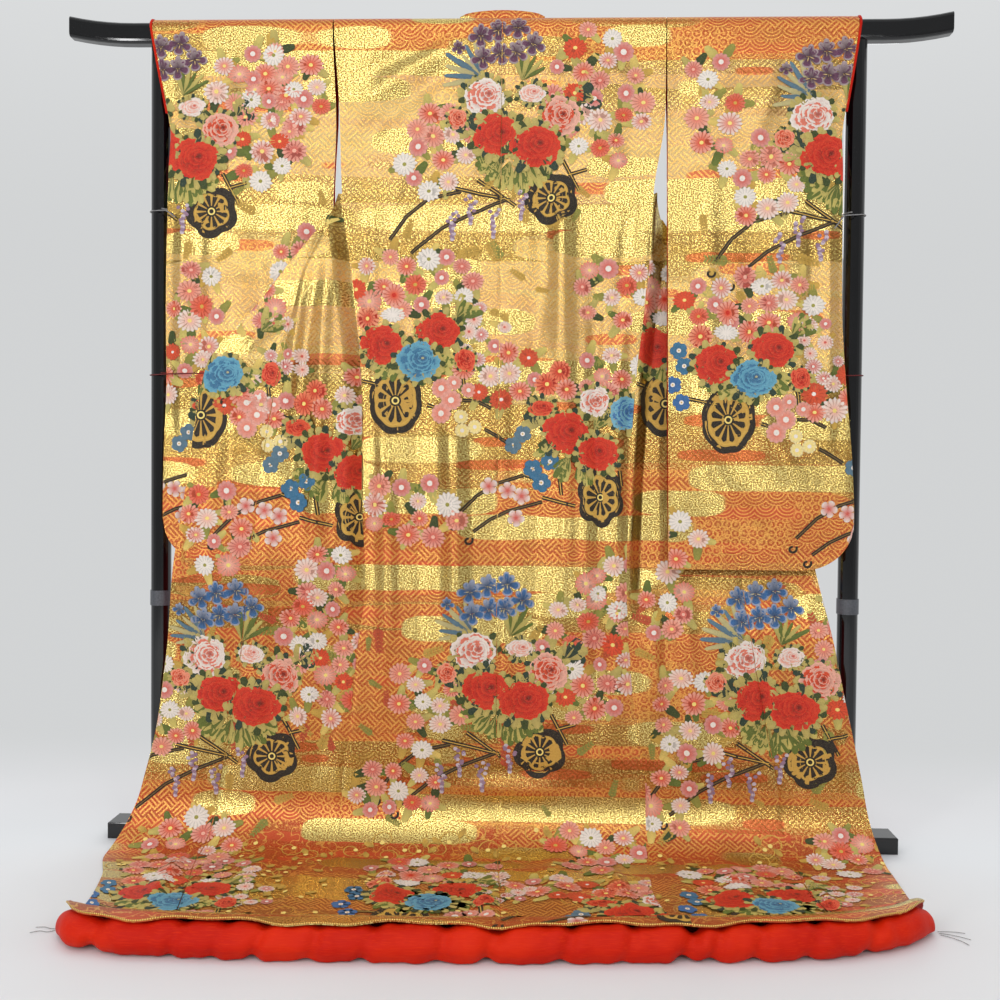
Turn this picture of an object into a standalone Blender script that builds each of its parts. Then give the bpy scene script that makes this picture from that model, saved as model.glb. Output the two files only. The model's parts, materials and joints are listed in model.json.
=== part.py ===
"""Uchikake wedding kimono hung from its sleeves on a lacquered kimono stand. Metres, +Z up.

The back of the garment faces -Y. The stand's bar runs through both sleeves along X. The body hangs
in front of the bar, turns onto the floor and runs forward as a train that ends in a padded hem roll.
The origin is on the floor, at the middle of the whole object.
"""

import math

import bmesh
import bpy
from mathutils import Vector

# Stand
BAR_HALF_LENGTH = 0.810
BAR_TOP = 1.520
BAR_HEIGHT = 0.038
BAR_DEPTH = 0.032
BAR_TIP_RISE = 0.013
BAR_TIP_LENGTH = 0.12
POST_X = 0.641
POST_RADIUS = 0.0185
JOINT_BOTTOM = 0.437
JOINT_HEIGHT = 0.028
JOINT_WALL = 0.0015
FOOT_HEIGHT = 0.030
FOOT_HALF_WIDTH = 0.030
FOOT_OUTER_X = 0.732
FOOT_FRONT = -0.048
FOOT_REAR = 0.220

# Cloth
WALL = 0.0022
SEAM_GAP = 0.0004
FOLD_LINE = 0.0012
SHOULDER_TOP = 1.5265
SHOULDER_HALF_DEPTH = 0.029
SHOULDER_ROUND = 0.022
HANG_LEAN = 0.010
TURN_RADIUS = 0.090
FLOOR_LIFT = 0.0027
HEM_RISE_START = 0.085
HEM_RISE_END = 0.020

# Hem roll
ROLL_HEIGHT = 0.050
ROLL_HALF_DEPTH = 0.036
ROLL_FLATNESS = 2.2
ROLL_END_LENGTH = 0.045
ROLL_OVERHANG = 0.008

# Sleeves
SLEEVE_BOTTOM = 0.518
SLEEVE_CORNER = 0.085
SLEEVE_EDGE_Y = -0.0310
SLEEVE_BELLY = 0.012
SLEEVE_HOLLOW = 0.019

# Length down the cloth from the shoulder fold, and the place along X of each edge and seam there
SECTION_COLUMNS = ("down", "edge_left", "okumi_left", "side_left", "centre", "side_right", "okumi_right",
                   "edge_right")
SECTIONS = (
    (0.000, -0.300, -0.300, -0.3145, -0.005, 0.2920, 0.292, 0.292),
    (0.190, -0.300, -0.300, -0.3020, -0.005, 0.2920, 0.292, 0.292),
    (0.345, -0.304, -0.303, -0.2960, -0.005, 0.2720, 0.279, 0.280),
    (0.490, -0.398, -0.362, -0.2780, -0.005, 0.2640, 0.345, 0.385),
    (0.610, -0.497, -0.392, -0.2650, -0.005, 0.2520, 0.375, 0.487),
    (0.655, -0.536, -0.402, -0.2610, -0.005, 0.2480, 0.385, 0.525),
    (0.715, -0.551, -0.415, -0.2570, -0.005, 0.2440, 0.398, 0.540),
    (0.880, -0.575, -0.442, -0.2560, -0.006, 0.2360, 0.420, 0.556),
    (1.050, -0.602, -0.462, -0.2490, -0.006, 0.2320, 0.445, 0.586),
    (1.200, -0.620, -0.480, -0.2640, -0.005, 0.2400, 0.466, 0.616),
    (1.330, -0.637, -0.499, -0.2760, -0.004, 0.2540, 0.492, 0.645),
    (1.440, -0.664, -0.519, -0.2900, -0.002, 0.2700, 0.512, 0.668),
    (1.580, -0.700, -0.531, -0.2920, 0.003, 0.2700, 0.526, 0.688),
    (1.720, -0.664, -0.509, -0.2620, 0.012, 0.2650, 0.523, 0.683),
    (1.880, -0.640, -0.482, -0.2500, 0.019, 0.2880, 0.542, 0.677),
    (1.980, -0.638, -0.474, -0.2470, 0.021, 0.2960, 0.550, 0.674),
)
CLOTH_LENGTH = SECTIONS[-1][0]
SLIT_END = 0.345
OKUMI_START = 0.385

# Front of the hem roll where it meets the floor
HEM_COLUMNS = ("x", "front")
HEM_LINE = (
    (-0.665, -0.490),
    (-0.600, -0.545),
    (-0.500, -0.565),
    (-0.325, -0.569),
    (0.024, -0.560),
    (0.300, -0.540),
    (0.467, -0.523),
    (0.597, -0.485),
    (0.700, -0.420),
)

# Large folds: where each starts and ends, its half width and how far it stands proud
FOLD_COLUMNS = ("x_top", "down_top", "x_foot", "down_foot", "half_width", "height")
FOLDS = (
    (-0.110, 0.30, -0.065, 1.38, 0.026, 0.012),
    (-0.165, 0.45, -0.150, 1.30, 0.016, -0.006),
    (-0.215, 0.55, -0.215, 1.36, 0.017, 0.008),
    (0.105, 0.22, 0.125, 1.20, 0.018, 0.010),
    (0.060, 0.45, 0.060, 1.30, 0.016, -0.006),
    (0.165, 0.40, 0.185, 1.45, 0.014, -0.010),
    (0.215, 0.45, 0.215, 1.45, 0.014, 0.007),
    (-0.315, 0.42, -0.345, 1.05, 0.014, 0.012),
    (-0.345, 0.50, -0.400, 1.00, 0.014, -0.007),
    (-0.300, 0.75, -0.330, 1.45, 0.016, -0.008),
    (-0.480, 0.70, -0.540, 1.40, 0.022, 0.007),
    (0.330, 1.02, 0.370, 1.48, 0.020, 0.009),
    (0.530, 1.02, 0.560, 1.48, 0.022, -0.006),
    (-0.420, 1.45, -0.400, 1.80, 0.030, 0.006),
    (0.100, 1.50, 0.110, 1.85, 0.030, 0.007),
    (0.400, 1.45, 0.420, 1.85, 0.030, 0.006),
)

# Outer edge of each sleeve, as a distance from the middle
SLEEVE_COLUMNS = ("z", "left", "right")
SLEEVE_EDGE = (
    (0.500, 0.628, 0.642),
    (0.620, 0.628, 0.642),
    (0.720, 0.626, 0.637),
    (0.870, 0.621, 0.623),
    (1.000, 0.622, 0.614),
    (1.250, 0.617, 0.611),
    (1.310, 0.613, 0.609),
    (1.380, 0.624, 0.618),
    (1.450, 0.638, 0.629),
    (1.530, 0.650, 0.638),
)
# Far layer of each sleeve along its outer edge: it comes round from behind the post
FAR_EDGE_COLUMNS = ("z", "out", "y")
FAR_EDGE = (
    (1.230, 1.000, 0.0),
    (1.300, 0.610, -0.012),
    (1.360, 0.610, 0.012),
    (1.420, 0.614, 0.0255),
    (1.530, 0.636, 0.0258),
)
SLEEVE_SEAM_COLUMNS = ("z", "left", "right")
SLEEVE_SEAM = (
    (0.500, 0.311, 0.307),
    (0.900, 0.312, 0.302),
    (1.200, 0.312, 0.298),
    (1.330, 0.308, 0.2965),
    (1.530, 0.3160, 0.2935),
)

NECK_HALF_WIDTH = 0.085
NECK_CENTRE = -0.006
COLLAR_WIDTH = 0.020
COLLAR_PROUD = 0.003
COLLAR_GAP = 0.0045
COLLAR_STAND = 0.012
PIPING_RADIUS = 0.0025
TIE_RADIUS = 0.0011
THREAD_RADIUS = 0.0005

LACQUER = (0.008, 0.008, 0.011)
JOINT_GREY = (0.05, 0.05, 0.055)
BROCADE = (0.55, 0.36, 0.12)
VERMILION = (0.70, 0.02, 0.01)
GREY_CORD = (0.35, 0.35, 0.36)
RED_CORD = (0.13, 0.01, 0.015)


def clear_scene():
    for obj in list(bpy.data.objects):
        bpy.data.objects.remove(obj)


def material(name, colour, roughness, metallic=0.0):
    made = bpy.data.materials.new(name)
    made.use_nodes = True
    shader = made.node_tree.nodes["Principled BSDF"]
    shader.inputs["Base Color"].default_value = (*colour, 1)
    shader.inputs["Roughness"].default_value = roughness
    shader.inputs["Metallic"].default_value = metallic
    made.diffuse_color = (*colour, 1)
    return made


def smoothstep(value):
    share = min(1.0, max(0.0, value))
    return share * share * (3 - 2 * share)


def between(a, b, share):
    return a + (b - a) * share


def along_table(rows, column, at):
    """Smooth value of a column at a place in the first column, without overshoot."""
    if at <= rows[0][0]:
        return rows[0][column]
    if at >= rows[-1][0]:
        return rows[-1][column]
    last = max(i for i, row in enumerate(rows) if row[0] <= at)
    a, b = rows[last], rows[last + 1]
    steps = []
    for i in (last, last + 1):
        before, after = rows[max(i - 1, 0)], rows[min(i + 1, len(rows) - 1)]
        rise_in = (rows[i][column] - before[column]) / max(rows[i][0] - before[0], 1e-9)
        rise_out = (after[column] - rows[i][column]) / max(after[0] - rows[i][0], 1e-9)
        flat = rise_in * rise_out <= 0
        steps.append(0.0 if flat else 2 * rise_in * rise_out / (rise_in + rise_out))
    span = b[0] - a[0]
    t = (at - a[0]) / span
    return ((2 * t ** 3 - 3 * t ** 2 + 1) * a[column] + (t ** 3 - 2 * t ** 2 + t) * span * steps[0]
            + (3 * t ** 2 - 2 * t ** 3) * b[column] + (t ** 3 - t ** 2) * span * steps[1])


def seam_x(name, down):
    return along_table(SECTIONS, SECTION_COLUMNS.index(name), down)


def hem_front(x):
    return along_table(HEM_LINE, HEM_COLUMNS.index("front"), x)


def shoulder_arc_length():
    return math.pi / 2 * math.sqrt((SHOULDER_HALF_DEPTH ** 2 + SHOULDER_ROUND ** 2) / 2)


def profile(down, x):
    """Place (y, z) of the cloth's outer face and its lean, 0 where it hangs and 1 where it lies."""
    arc = shoulder_arc_length()
    hang_top = SHOULDER_TOP - SHOULDER_ROUND
    if down < arc:
        angle = down / arc * math.pi / 2
        return -SHOULDER_HALF_DEPTH * math.sin(angle), hang_top + SHOULDER_ROUND * math.cos(angle), 0.0
    hang_length = hang_top - TURN_RADIUS - FLOOR_LIFT
    turn_length = TURN_RADIUS * math.pi / 2
    gone = down - arc
    hang_y = -SHOULDER_HALF_DEPTH - HANG_LEAN
    if gone < hang_length:
        share = gone / hang_length
        return -SHOULDER_HALF_DEPTH - HANG_LEAN * share, hang_top - gone, 0.0
    gone -= hang_length
    if gone < turn_length:
        angle = gone / TURN_RADIUS
        y = hang_y - TURN_RADIUS * (1 - math.cos(angle))
        return y, FLOOR_LIFT + TURN_RADIUS * (1 - math.sin(angle)), smoothstep(gone / turn_length)
    share = (gone - turn_length) / (CLOTH_LENGTH - arc - hang_length - turn_length)
    roll_middle = hem_front(x) + ROLL_HALF_DEPTH
    y = between(hang_y - TURN_RADIUS, roll_middle, share)
    rise = smoothstep((HEM_RISE_START - (y - roll_middle)) / (HEM_RISE_START - HEM_RISE_END))
    top = ROLL_HEIGHT + WALL + 0.0012
    return y, between(FLOOR_LIFT, top, rise), 1.0


def fold_height(x, down):
    total = 0.0
    for x_top, down_top, x_foot, down_foot, half_width, height in FOLDS:
        share = (down - down_top) / (down_foot - down_top)
        if not 0 < share < 1:
            continue
        line = between(x_top, x_foot, share)
        fade = smoothstep(share * 4) * smoothstep((1 - share) * 4)
        total += height * fade * math.exp(-((x - line) / half_width) ** 2)
    return total


def lane(x, down):
    """How far the fronts stand off the back: the left one passes over its sleeve, the right one behind."""
    side_left, side_right = seam_x("side_left", down), seam_x("side_right", down)
    if x < side_left:
        return 0.026 * smoothstep((side_left - x) / 0.030) * (1 - smoothstep((down - 1.00) / 0.20))
    if x > side_right:
        return -0.041 * smoothstep((x - side_right) / 0.028) * (1 - smoothstep((down - 1.01) / 0.15))
    return 0.0


def body_point(x, down):
    y, z, lying = profile(down, x)
    proud = fold_height(x, down)
    if down > SLIT_END:
        proud += lane(x, down)
    if lying > 0:
        proud = max(proud, 0.0) if lying >= 1 else proud * (1 - lying) + max(proud, 0.0) * lying
    tilt = lying * math.pi / 2
    return Vector((x, y - proud * math.cos(tilt), z + proud * math.sin(tilt)))


def grid_wall(name, rows, finish, wall=WALL, inwards=1.0, seam_ways=None):
    """A closed wall: the rows are its outer face, and it has its thickness behind them.

    Panels that meet at a seam share a way in there, one for each row, so that their walls don't cross.
    """
    high, wide = len(rows), len(rows[0])
    outer, inner = [], []
    for i in range(high):
        for j in range(wide):
            across = rows[i][min(j + 1, wide - 1)] - rows[i][max(j - 1, 0)]
            along = rows[min(i + 1, high - 1)][j] - rows[max(i - 1, 0)][j]
            way = across.cross(along).normalized() * inwards
            if seam_ways and j in (0, wide - 1):
                way = seam_ways[i]
            outer.append(rows[i][j])
            inner.append(rows[i][j] + way * wall)
    mesh = bmesh.new()
    front = [mesh.verts.new(p) for p in outer]
    behind = [mesh.verts.new(p) for p in inner]
    at = lambda i, j: i * wide + j
    for i in range(high - 1):
        for j in range(wide - 1):
            quad = (at(i, j), at(i + 1, j), at(i + 1, j + 1), at(i, j + 1))
            mesh.faces.new([front[k] for k in quad])
            mesh.faces.new([behind[k] for k in reversed(quad)])
    rim = [at(i, 0) for i in range(high)] + [at(high - 1, j) for j in range(1, wide)]
    rim += [at(i, wide - 1) for i in range(high - 2, -1, -1)] + [at(0, j) for j in range(wide - 2, 0, -1)]
    for k, first in enumerate(rim):
        second = rim[(k + 1) % len(rim)]
        mesh.faces.new((front[first], behind[first], behind[second], front[second]))
    return finish_mesh(name, mesh, finish)


def finish_mesh(name, mesh, finish):
    bmesh.ops.triangulate(mesh, faces=mesh.faces[:])
    bmesh.ops.recalc_face_normals(mesh, faces=mesh.faces[:])
    data = bpy.data.meshes.new(name)
    mesh.to_mesh(data)
    mesh.free()
    data.shade_smooth()
    data.set_sharp_from_angle(angle=math.radians(40))
    obj = bpy.data.objects.new(name, data)
    obj.data.materials.append(finish)
    bpy.context.scene.collection.objects.link(obj)
    return obj


def spaced(start, end, count):
    return [between(start, end, i / (count - 1)) for i in range(count)]


def body_downs(start, end):
    """Lengths down the cloth, closer together at the shoulder fold and at the turn onto the floor."""
    marks = [0.010, 0.019, 0.029, 0.040]
    marks += [0.10, 0.19, 0.27, SLIT_END, OKUMI_START, *spaced(0.46, 1.38, 11)]
    marks += [1.43, 1.465, 1.50, 1.535, 1.57, 1.64, 1.73, 1.82, 1.875, 1.90, 1.925, 1.95, CLOTH_LENGTH]
    return [start, *(d for d in marks if start + 0.006 < d < end - 0.006), end]


def way_in(down):
    """The way from the outer face of the hanging or lying cloth to its lining."""
    step = 0.002
    (y_up, z_up, _), (y_down, z_down, _) = profile(down - step, 0.0), profile(down + step, 0.0)
    return Vector((0, z_up - z_down, y_down - y_up)).normalized()


def body_panel(name, left, right, start, across, finish, crowd=1.0):
    """A body panel between two seams. Its columns crowd towards the left seam, or the right if negative."""
    rows, ways = [], []
    for down in body_downs(start, CLOTH_LENGTH):
        x_left, x_right = seam_x(left, down) + SEAM_GAP / 2, seam_x(right, down) - SEAM_GAP / 2
        shares = [t ** crowd if crowd > 0 else 1 - (1 - t) ** -crowd for t in spaced(0.0, 1.0, across)]
        rows.append([body_point(between(x_left, x_right, share), down) for share in shares])
        ways.append(way_in(down))
    return grid_wall(name, rows, finish, seam_ways=ways)


def sleeve_out(side, z):
    return along_table(SLEEVE_EDGE, SLEEVE_COLUMNS.index(side), z)


def sleeve_point(side, layer, share, fall):
    """A point of a sleeve: share runs from its seam to its outer edge, fall from shoulder to bottom."""
    sign = -1 if side == "left" else 1
    corner_start = 0.72
    corner = max(0.0, (share - corner_start) / (1 - corner_start))
    bottom = SLEEVE_BOTTOM + SLEEVE_CORNER * (1 - math.sqrt(max(0.0, 1 - corner ** 2)))
    hang_top = SHOULDER_TOP - SHOULDER_ROUND
    arc = shoulder_arc_length()
    down = fall * (arc + hang_top - bottom)
    depth, z = 0.0, hang_top - (down - arc)
    if down < arc:
        angle = down / arc * math.pi / 2
        depth, z = SHOULDER_HALF_DEPTH * math.sin(angle), hang_top + SHOULDER_ROUND * math.cos(angle)
    inner = along_table(SLEEVE_SEAM, SLEEVE_SEAM_COLUMNS.index(side), z)
    outer = sleeve_out(side, z)
    near_edge = SLEEVE_EDGE_Y
    far_edge = near_edge + 2 * WALL + SEAM_GAP
    lower = smoothstep((hang_top - z) / 0.25)
    belly = math.sin(math.pi * min(1.0, share * 0.94 + 0.03)) ** 0.7 * smoothstep((z - bottom + 0.02) / 0.16)
    if layer == "near":
        if down < arc:
            return Vector((sign * between(inner, outer, share), -depth, z))
        y = between(-SHOULDER_HALF_DEPTH, near_edge, lower) - SLEEVE_BELLY * belly * lower
        return Vector((sign * between(inner, outer, share), y, z))
    if z > FAR_EDGE[0][0]:
        at_rim = smoothstep((z - FAR_EDGE[0][0]) / (FAR_EDGE[1][0] - FAR_EDGE[0][0]))
        rim_x = along_table(FAR_EDGE[1:], FAR_EDGE_COLUMNS.index("out"), z)
        rim_y = along_table(FAR_EDGE[1:], FAR_EDGE_COLUMNS.index("y"), z)
        outer = between(outer, min(rim_x, outer), at_rim)
        rim_y = between(far_edge, rim_y, at_rim)
    else:
        rim_y = far_edge
    if down < arc:
        return Vector((sign * between(inner, outer, share), depth, z))
    open_y = between(SHOULDER_HALF_DEPTH, near_edge + SLEEVE_HOLLOW, lower)
    seat = smoothstep((z - bottom) / 0.16)
    low_y = between(far_edge, open_y, seat)
    rim = smoothstep((share - 0.60) / 0.40)
    return Vector((sign * between(inner, outer, share), between(low_y, rim_y, rim), z))


def sleeve(side, layer, finish):
    falls = [0.0, 0.010, 0.019, 0.029, 0.040, *spaced(0.09, 0.33, 7), *spaced(0.40, 0.84, 6), 0.90, 0.95, 1.0]
    shares = spaced(0.0, 1.0, 8)
    gap = FOLD_LINE if layer == "near" else -FOLD_LINE
    rows = [[sleeve_point(side, layer, share, fall) for share in shares] for fall in falls]
    for point in rows[0]:
        point.y -= gap
    turned = 1.0 if (side == "right") == (layer == "near") else -1.0
    return grid_wall(f"sleeve_{side}_{layer}", rows, finish, inwards=turned)


def front_top(side, finish):
    """The front between the shoulder and the side slit, behind the bar: its collar edge runs to the slit."""
    sign = -1 if side == "left" else 1
    slit_z, top = 1.205, SHOULDER_TOP - SHOULDER_ROUND
    shoulder_x = abs(seam_x(f"side_{side}", 0.0)) - 0.001
    slit_x = abs(seam_x(f"side_{side}", SLIT_END)) - 0.001
    rows = []
    arc_angles = (FOLD_LINE / SHOULDER_HALF_DEPTH, 0.5, 1.05, math.pi / 2)
    for angle in arc_angles:
        y, z = SHOULDER_HALF_DEPTH * math.sin(angle), top + SHOULDER_ROUND * math.cos(angle)
        rows.append([Vector((sign * x, y, z)) for x in spaced(NECK_HALF_WIDTH, shoulder_x, 7)])
    for share in spaced(0.12, 1.0, 8):
        z = between(top, slit_z, share)
        inner = between(NECK_HALF_WIDTH, slit_x - 0.010, share)
        y = between(SHOULDER_HALF_DEPTH, 0.004, smoothstep(share))
        rows.append([Vector((sign * x, y, z)) for x in spaced(inner, between(shoulder_x, slit_x, share), 7)])
    return grid_wall(f"front_{side}_top", rows, finish, inwards=-sign)


def collar_edge(side, finish):
    """The collar's lower end, turned in behind the slanting front edge, from the slit to the tie."""
    name = f"edge_{side}"
    sign = -1 if side == "left" else 1
    rows = []
    for down in spaced(0.42, 0.645, 9):
        x = seam_x(name, down)
        step = 0.004
        line = Vector((seam_x(name, down + step) - seam_x(name, down - step), 0, -2 * step)).normalized()
        inward = Vector((-sign * abs(line.z), 0, -abs(line.x)))
        reach = min(COLLAR_WIDTH, abs(x - seam_x(f"okumi_{side}", down)) * 0.8)
        outer = Vector((x, 0, 0)) + Vector((sign * COLLAR_PROUD, 0, 0))
        row = []
        for share in (0.0, 0.5, 1.0):
            place = outer + inward * (reach + COLLAR_PROUD) * share
            body = body_point(place.x, down - place.z)
            row.append(Vector((body.x, body.y + WALL + COLLAR_GAP, body.z)))
        rows.append(row)
    return grid_wall(f"collar_{side}", rows, finish, inwards=-sign)


def collar_neck(finish):
    """The collar round the back of the neck, standing just above the shoulder fold."""
    rows = []
    for share in spaced(0.0, 1.0, 15):
        x = NECK_CENTRE + between(-0.078, 0.078, share)
        bow = 1 - (2 * share - 1) ** 2
        low, high = SHOULDER_TOP + 0.0008, SHOULDER_TOP + 0.004 + COLLAR_STAND * bow ** 0.6
        rows.append([Vector((x, -0.004, low)), Vector((x, -0.005, between(low, high, 0.5))),
                     Vector((x, -0.003, high))])
    return grid_wall("collar_neck", rows, finish, 0.004)


def tube(name, points, radius, finish, closed=False, sides=2):
    curve = bpy.data.curves.new(name, "CURVE")
    curve.dimensions = "3D"
    curve.bevel_depth = radius
    curve.bevel_resolution = sides
    curve.use_fill_caps = not closed
    spline = curve.splines.new("POLY")
    spline.points.add(len(points) - 1)
    spline.use_cyclic_u = closed
    for point, place in zip(spline.points, points):
        point.co = (*place, 1)
    curve.materials.append(finish)
    obj = bpy.data.objects.new(name, curve)
    bpy.context.scene.collection.objects.link(obj)
    return obj


def smooth_route(points, count):
    """Points of a Catmull-Rom curve through a route."""
    ends = [points[0] * 2 - points[1], *points, points[-1] * 2 - points[-2]]
    made = []
    for i in range(count):
        place = i / (count - 1) * (len(points) - 1)
        k = min(int(place), len(points) - 2)
        t = place - k
        a, b, c, d = ends[k:k + 4]
        made.append(0.5 * (2 * b + (c - a) * t + (2 * a - 5 * b + 4 * c - d) * t ** 2
                           + (3 * b - a - 3 * c + d) * t ** 3))
    return made


def cuff_piping(side, finish):
    """The narrow red roll along the cuff: up the near layer, over the shoulder fold and down the far one."""
    sign = -1 if side == "left" else 1
    out = PIPING_RADIUS + 0.0012
    near, far = [], []
    for fall in (0.210, 0.170, 0.130, 0.090, 0.065, 0.040, 0.029, 0.019, 0.010, 0.002):
        for layer, route in (("near", near), ("far", far)):
            point = sleeve_point(side, layer, 1.0, fall)
            middle = WALL / 2 if layer == "near" else -WALL / 2
            route.append(point + Vector((sign * out, middle, 0)))
    return tube(f"cuff_piping_{side}", near + far[::-1][1:-1], PIPING_RADIUS, finish, sides=1)


def hem_roll(finish):
    left = seam_x("edge_left", CLOTH_LENGTH) - ROLL_OVERHANG
    right = seam_x("edge_right", CLOTH_LENGTH) + ROLL_OVERHANG
    sides, rows = 14, []
    stations = [left, left + 0.004, left + 0.014, left + 0.028]
    stations += spaced(left + ROLL_END_LENGTH, right - ROLL_END_LENGTH, 26)
    stations += [right - 0.028, right - 0.014, right - 0.004, right]
    for x in stations:
        off = min(x - left, right - x) / ROLL_END_LENGTH
        size = 0.35 + 0.65 * math.sqrt(max(0.0, 1 - (1 - min(1.0, off)) ** 2))
        middle = hem_front(x) + ROLL_HALF_DEPTH
        ring = []
        for k in range(sides):
            angle = 2 * math.pi * (k + 0.5) / sides
            c, s = math.cos(angle), math.sin(angle)
            bulge = (abs(c) ** ROLL_FLATNESS + abs(s) ** ROLL_FLATNESS) ** (-1 / ROLL_FLATNESS)
            z = ROLL_HEIGHT / 2 * (1 + bulge * s) * size
            ring.append(Vector((x, middle + ROLL_HALF_DEPTH * size * bulge * c, max(0.0, z - 0.002))))
        rows.append(ring)
    mesh = bmesh.new()
    rings = [[mesh.verts.new(p) for p in ring] for ring in rows]
    for a, b in zip(rings, rings[1:]):
        for k in range(sides):
            mesh.faces.new((a[k], a[(k + 1) % sides], b[(k + 1) % sides], b[k]))
    mesh.faces.new(rings[0][::-1])
    mesh.faces.new(rings[-1])
    return finish_mesh("hem_roll", mesh, finish)


def bar_section(x, rise):
    """Rounded section of the top bar."""
    corner, half_depth, half_height = 0.007, BAR_DEPTH / 2, BAR_HEIGHT / 2
    middle = BAR_TOP - half_height + rise
    ring = []
    for start, (sy, sz) in enumerate(((1, 1), (-1, 1), (-1, -1), (1, -1))):
        for step in range(4):
            angle = (start + step / 3) * math.pi / 2
            ring.append(Vector((x, sy * (half_depth - corner) + corner * math.cos(angle),
                                middle + sz * (half_height - corner) + corner * math.sin(angle))))
    return ring


def top_bar(finish):
    mesh = bmesh.new()
    rings = []
    inside = BAR_HALF_LENGTH - BAR_TIP_LENGTH
    stations = [-inside + i * 2 * inside for i in (0, 1)]
    tips = spaced(0.0, 1.0, 6)
    places = [-inside - t * BAR_TIP_LENGTH for t in tips[::-1]] + [inside + t * BAR_TIP_LENGTH for t in tips]
    for x in places:
        t = max(0.0, (abs(x) - stations[1]) / BAR_TIP_LENGTH)
        rings.append([mesh.verts.new(p) for p in bar_section(x, BAR_TIP_RISE * t ** 2)])
    count = len(rings[0])
    for a, b in zip(rings, rings[1:]):
        for k in range(count):
            mesh.faces.new((a[k], a[(k + 1) % count], b[(k + 1) % count], b[k]))
    mesh.faces.new(rings[0][::-1])
    mesh.faces.new(rings[-1])
    return finish_mesh("top_bar", mesh, finish)


def turned(name, x, outline, finish, sides=24):
    """A turned piece about an upright axis, closed: its outline is a ring of radius and height."""
    mesh = bmesh.new()
    columns = []
    for k in range(sides):
        angle = 2 * math.pi * k / sides
        columns.append([mesh.verts.new((x + r * math.cos(angle), r * math.sin(angle), z))
                        for r, z in outline])
    count = len(outline)
    for k, column in enumerate(columns):
        other = columns[(k + 1) % sides]
        for i in range(count):
            j = (i + 1) % count
            mesh.faces.new((column[i], column[j], other[j], other[i]))
    return finish_mesh(name, mesh, finish)


def post(side, finish):
    sign = -1 if side == "left" else 1
    low, high = FOOT_HEIGHT + 0.0003, BAR_TOP - BAR_HEIGHT - 0.0003
    mesh = bmesh.new()
    bmesh.ops.create_cone(mesh, cap_ends=True, segments=24, radius1=POST_RADIUS, radius2=POST_RADIUS,
                          depth=high - low)
    bmesh.ops.translate(mesh, verts=mesh.verts, vec=(sign * POST_X, 0, (high + low) / 2))
    return finish_mesh(f"post_{side}", mesh, finish)


def joint_sleeve(side, finish):
    sign = -1 if side == "left" else 1
    inner, outer = POST_RADIUS + 0.0003, POST_RADIUS + JOINT_WALL
    outline = ((inner, JOINT_BOTTOM), (outer, JOINT_BOTTOM), (outer, JOINT_BOTTOM + JOINT_HEIGHT),
               (inner, JOINT_BOTTOM + JOINT_HEIGHT))
    return turned(f"post_joint_{side}", sign * POST_X, outline, finish)


def extruded(name, outline, low, high, finish, bevel):
    mesh = bmesh.new()
    face = mesh.faces.new([mesh.verts.new((x, y, low)) for x, y in outline])
    grown = bmesh.ops.extrude_face_region(mesh, geom=[face])
    top = [v for v in grown["geom"] if isinstance(v, bmesh.types.BMVert)]
    bmesh.ops.translate(mesh, verts=top, vec=(0, 0, high - low))
    edges = [e for e in mesh.edges if min(v.co.z for v in e.verts) > low + 1e-6]
    bmesh.ops.bevel(mesh, geom=edges, offset=bevel, segments=2, affect="EDGES", profile=0.5)
    return finish_mesh(name, mesh, finish)


def foot(side, finish):
    """A cross-shaped foot: a bar front to back under the post and a short arm outwards."""
    sign = -1 if side == "left" else 1
    near, far = POST_X - FOOT_HALF_WIDTH, POST_X + FOOT_HALF_WIDTH
    outline = ((near, FOOT_FRONT), (far, FOOT_FRONT), (far, -FOOT_HALF_WIDTH), (FOOT_OUTER_X, -FOOT_HALF_WIDTH),
               (FOOT_OUTER_X, FOOT_HALF_WIDTH), (far, FOOT_HALF_WIDTH), (far, FOOT_REAR), (near, FOOT_REAR))
    return extruded(f"foot_{side}", [(sign * x, y) for x, y in outline], 0.0, FOOT_HEIGHT, finish, 0.002)


def stretcher(finish):
    reach = POST_X - FOOT_HALF_WIDTH - 0.0003
    outline = ((-reach, -0.022), (reach, -0.022), (reach, 0.022), (-reach, 0.022))
    return extruded("base_stretcher", outline, 0.0, FOOT_HEIGHT - 0.004, finish, 0.002)


def post_tie(name, side, z, garment_end, radius, finish, over_sleeve=True):
    """A cord tied round the post. It runs to the garment, round the sleeve's outer edge where that is near."""
    sign = -1 if side == "left" else 1
    ring = POST_RADIUS + radius + 0.0008
    corner = garment_end
    if over_sleeve:
        corner = Vector((sign * (sleeve_out(side, z) + 0.002), -0.0375, between(garment_end.z, z, 0.8)))
    inward, forward = POST_X - abs(corner.x), corner.y
    start = math.atan2(forward, inward) - math.acos(ring / math.hypot(inward, forward))
    around = []
    for step in range(25):
        angle = start - step / 24 * math.radians(310)
        climb = 0.004 * step / 24
        x = sign * (POST_X - ring * math.cos(angle))
        around.append(Vector((x, ring * math.sin(angle), z + climb)))
    lead = [garment_end.lerp(corner, share) for share in spaced(0.0, 1.0, 5)[:-1]] if over_sleeve else []
    lead += [corner.lerp(around[0], share) for share in spaced(0.0, 1.0, 5)[:-1]]
    return tube(name, lead + around, radius, finish)


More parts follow.
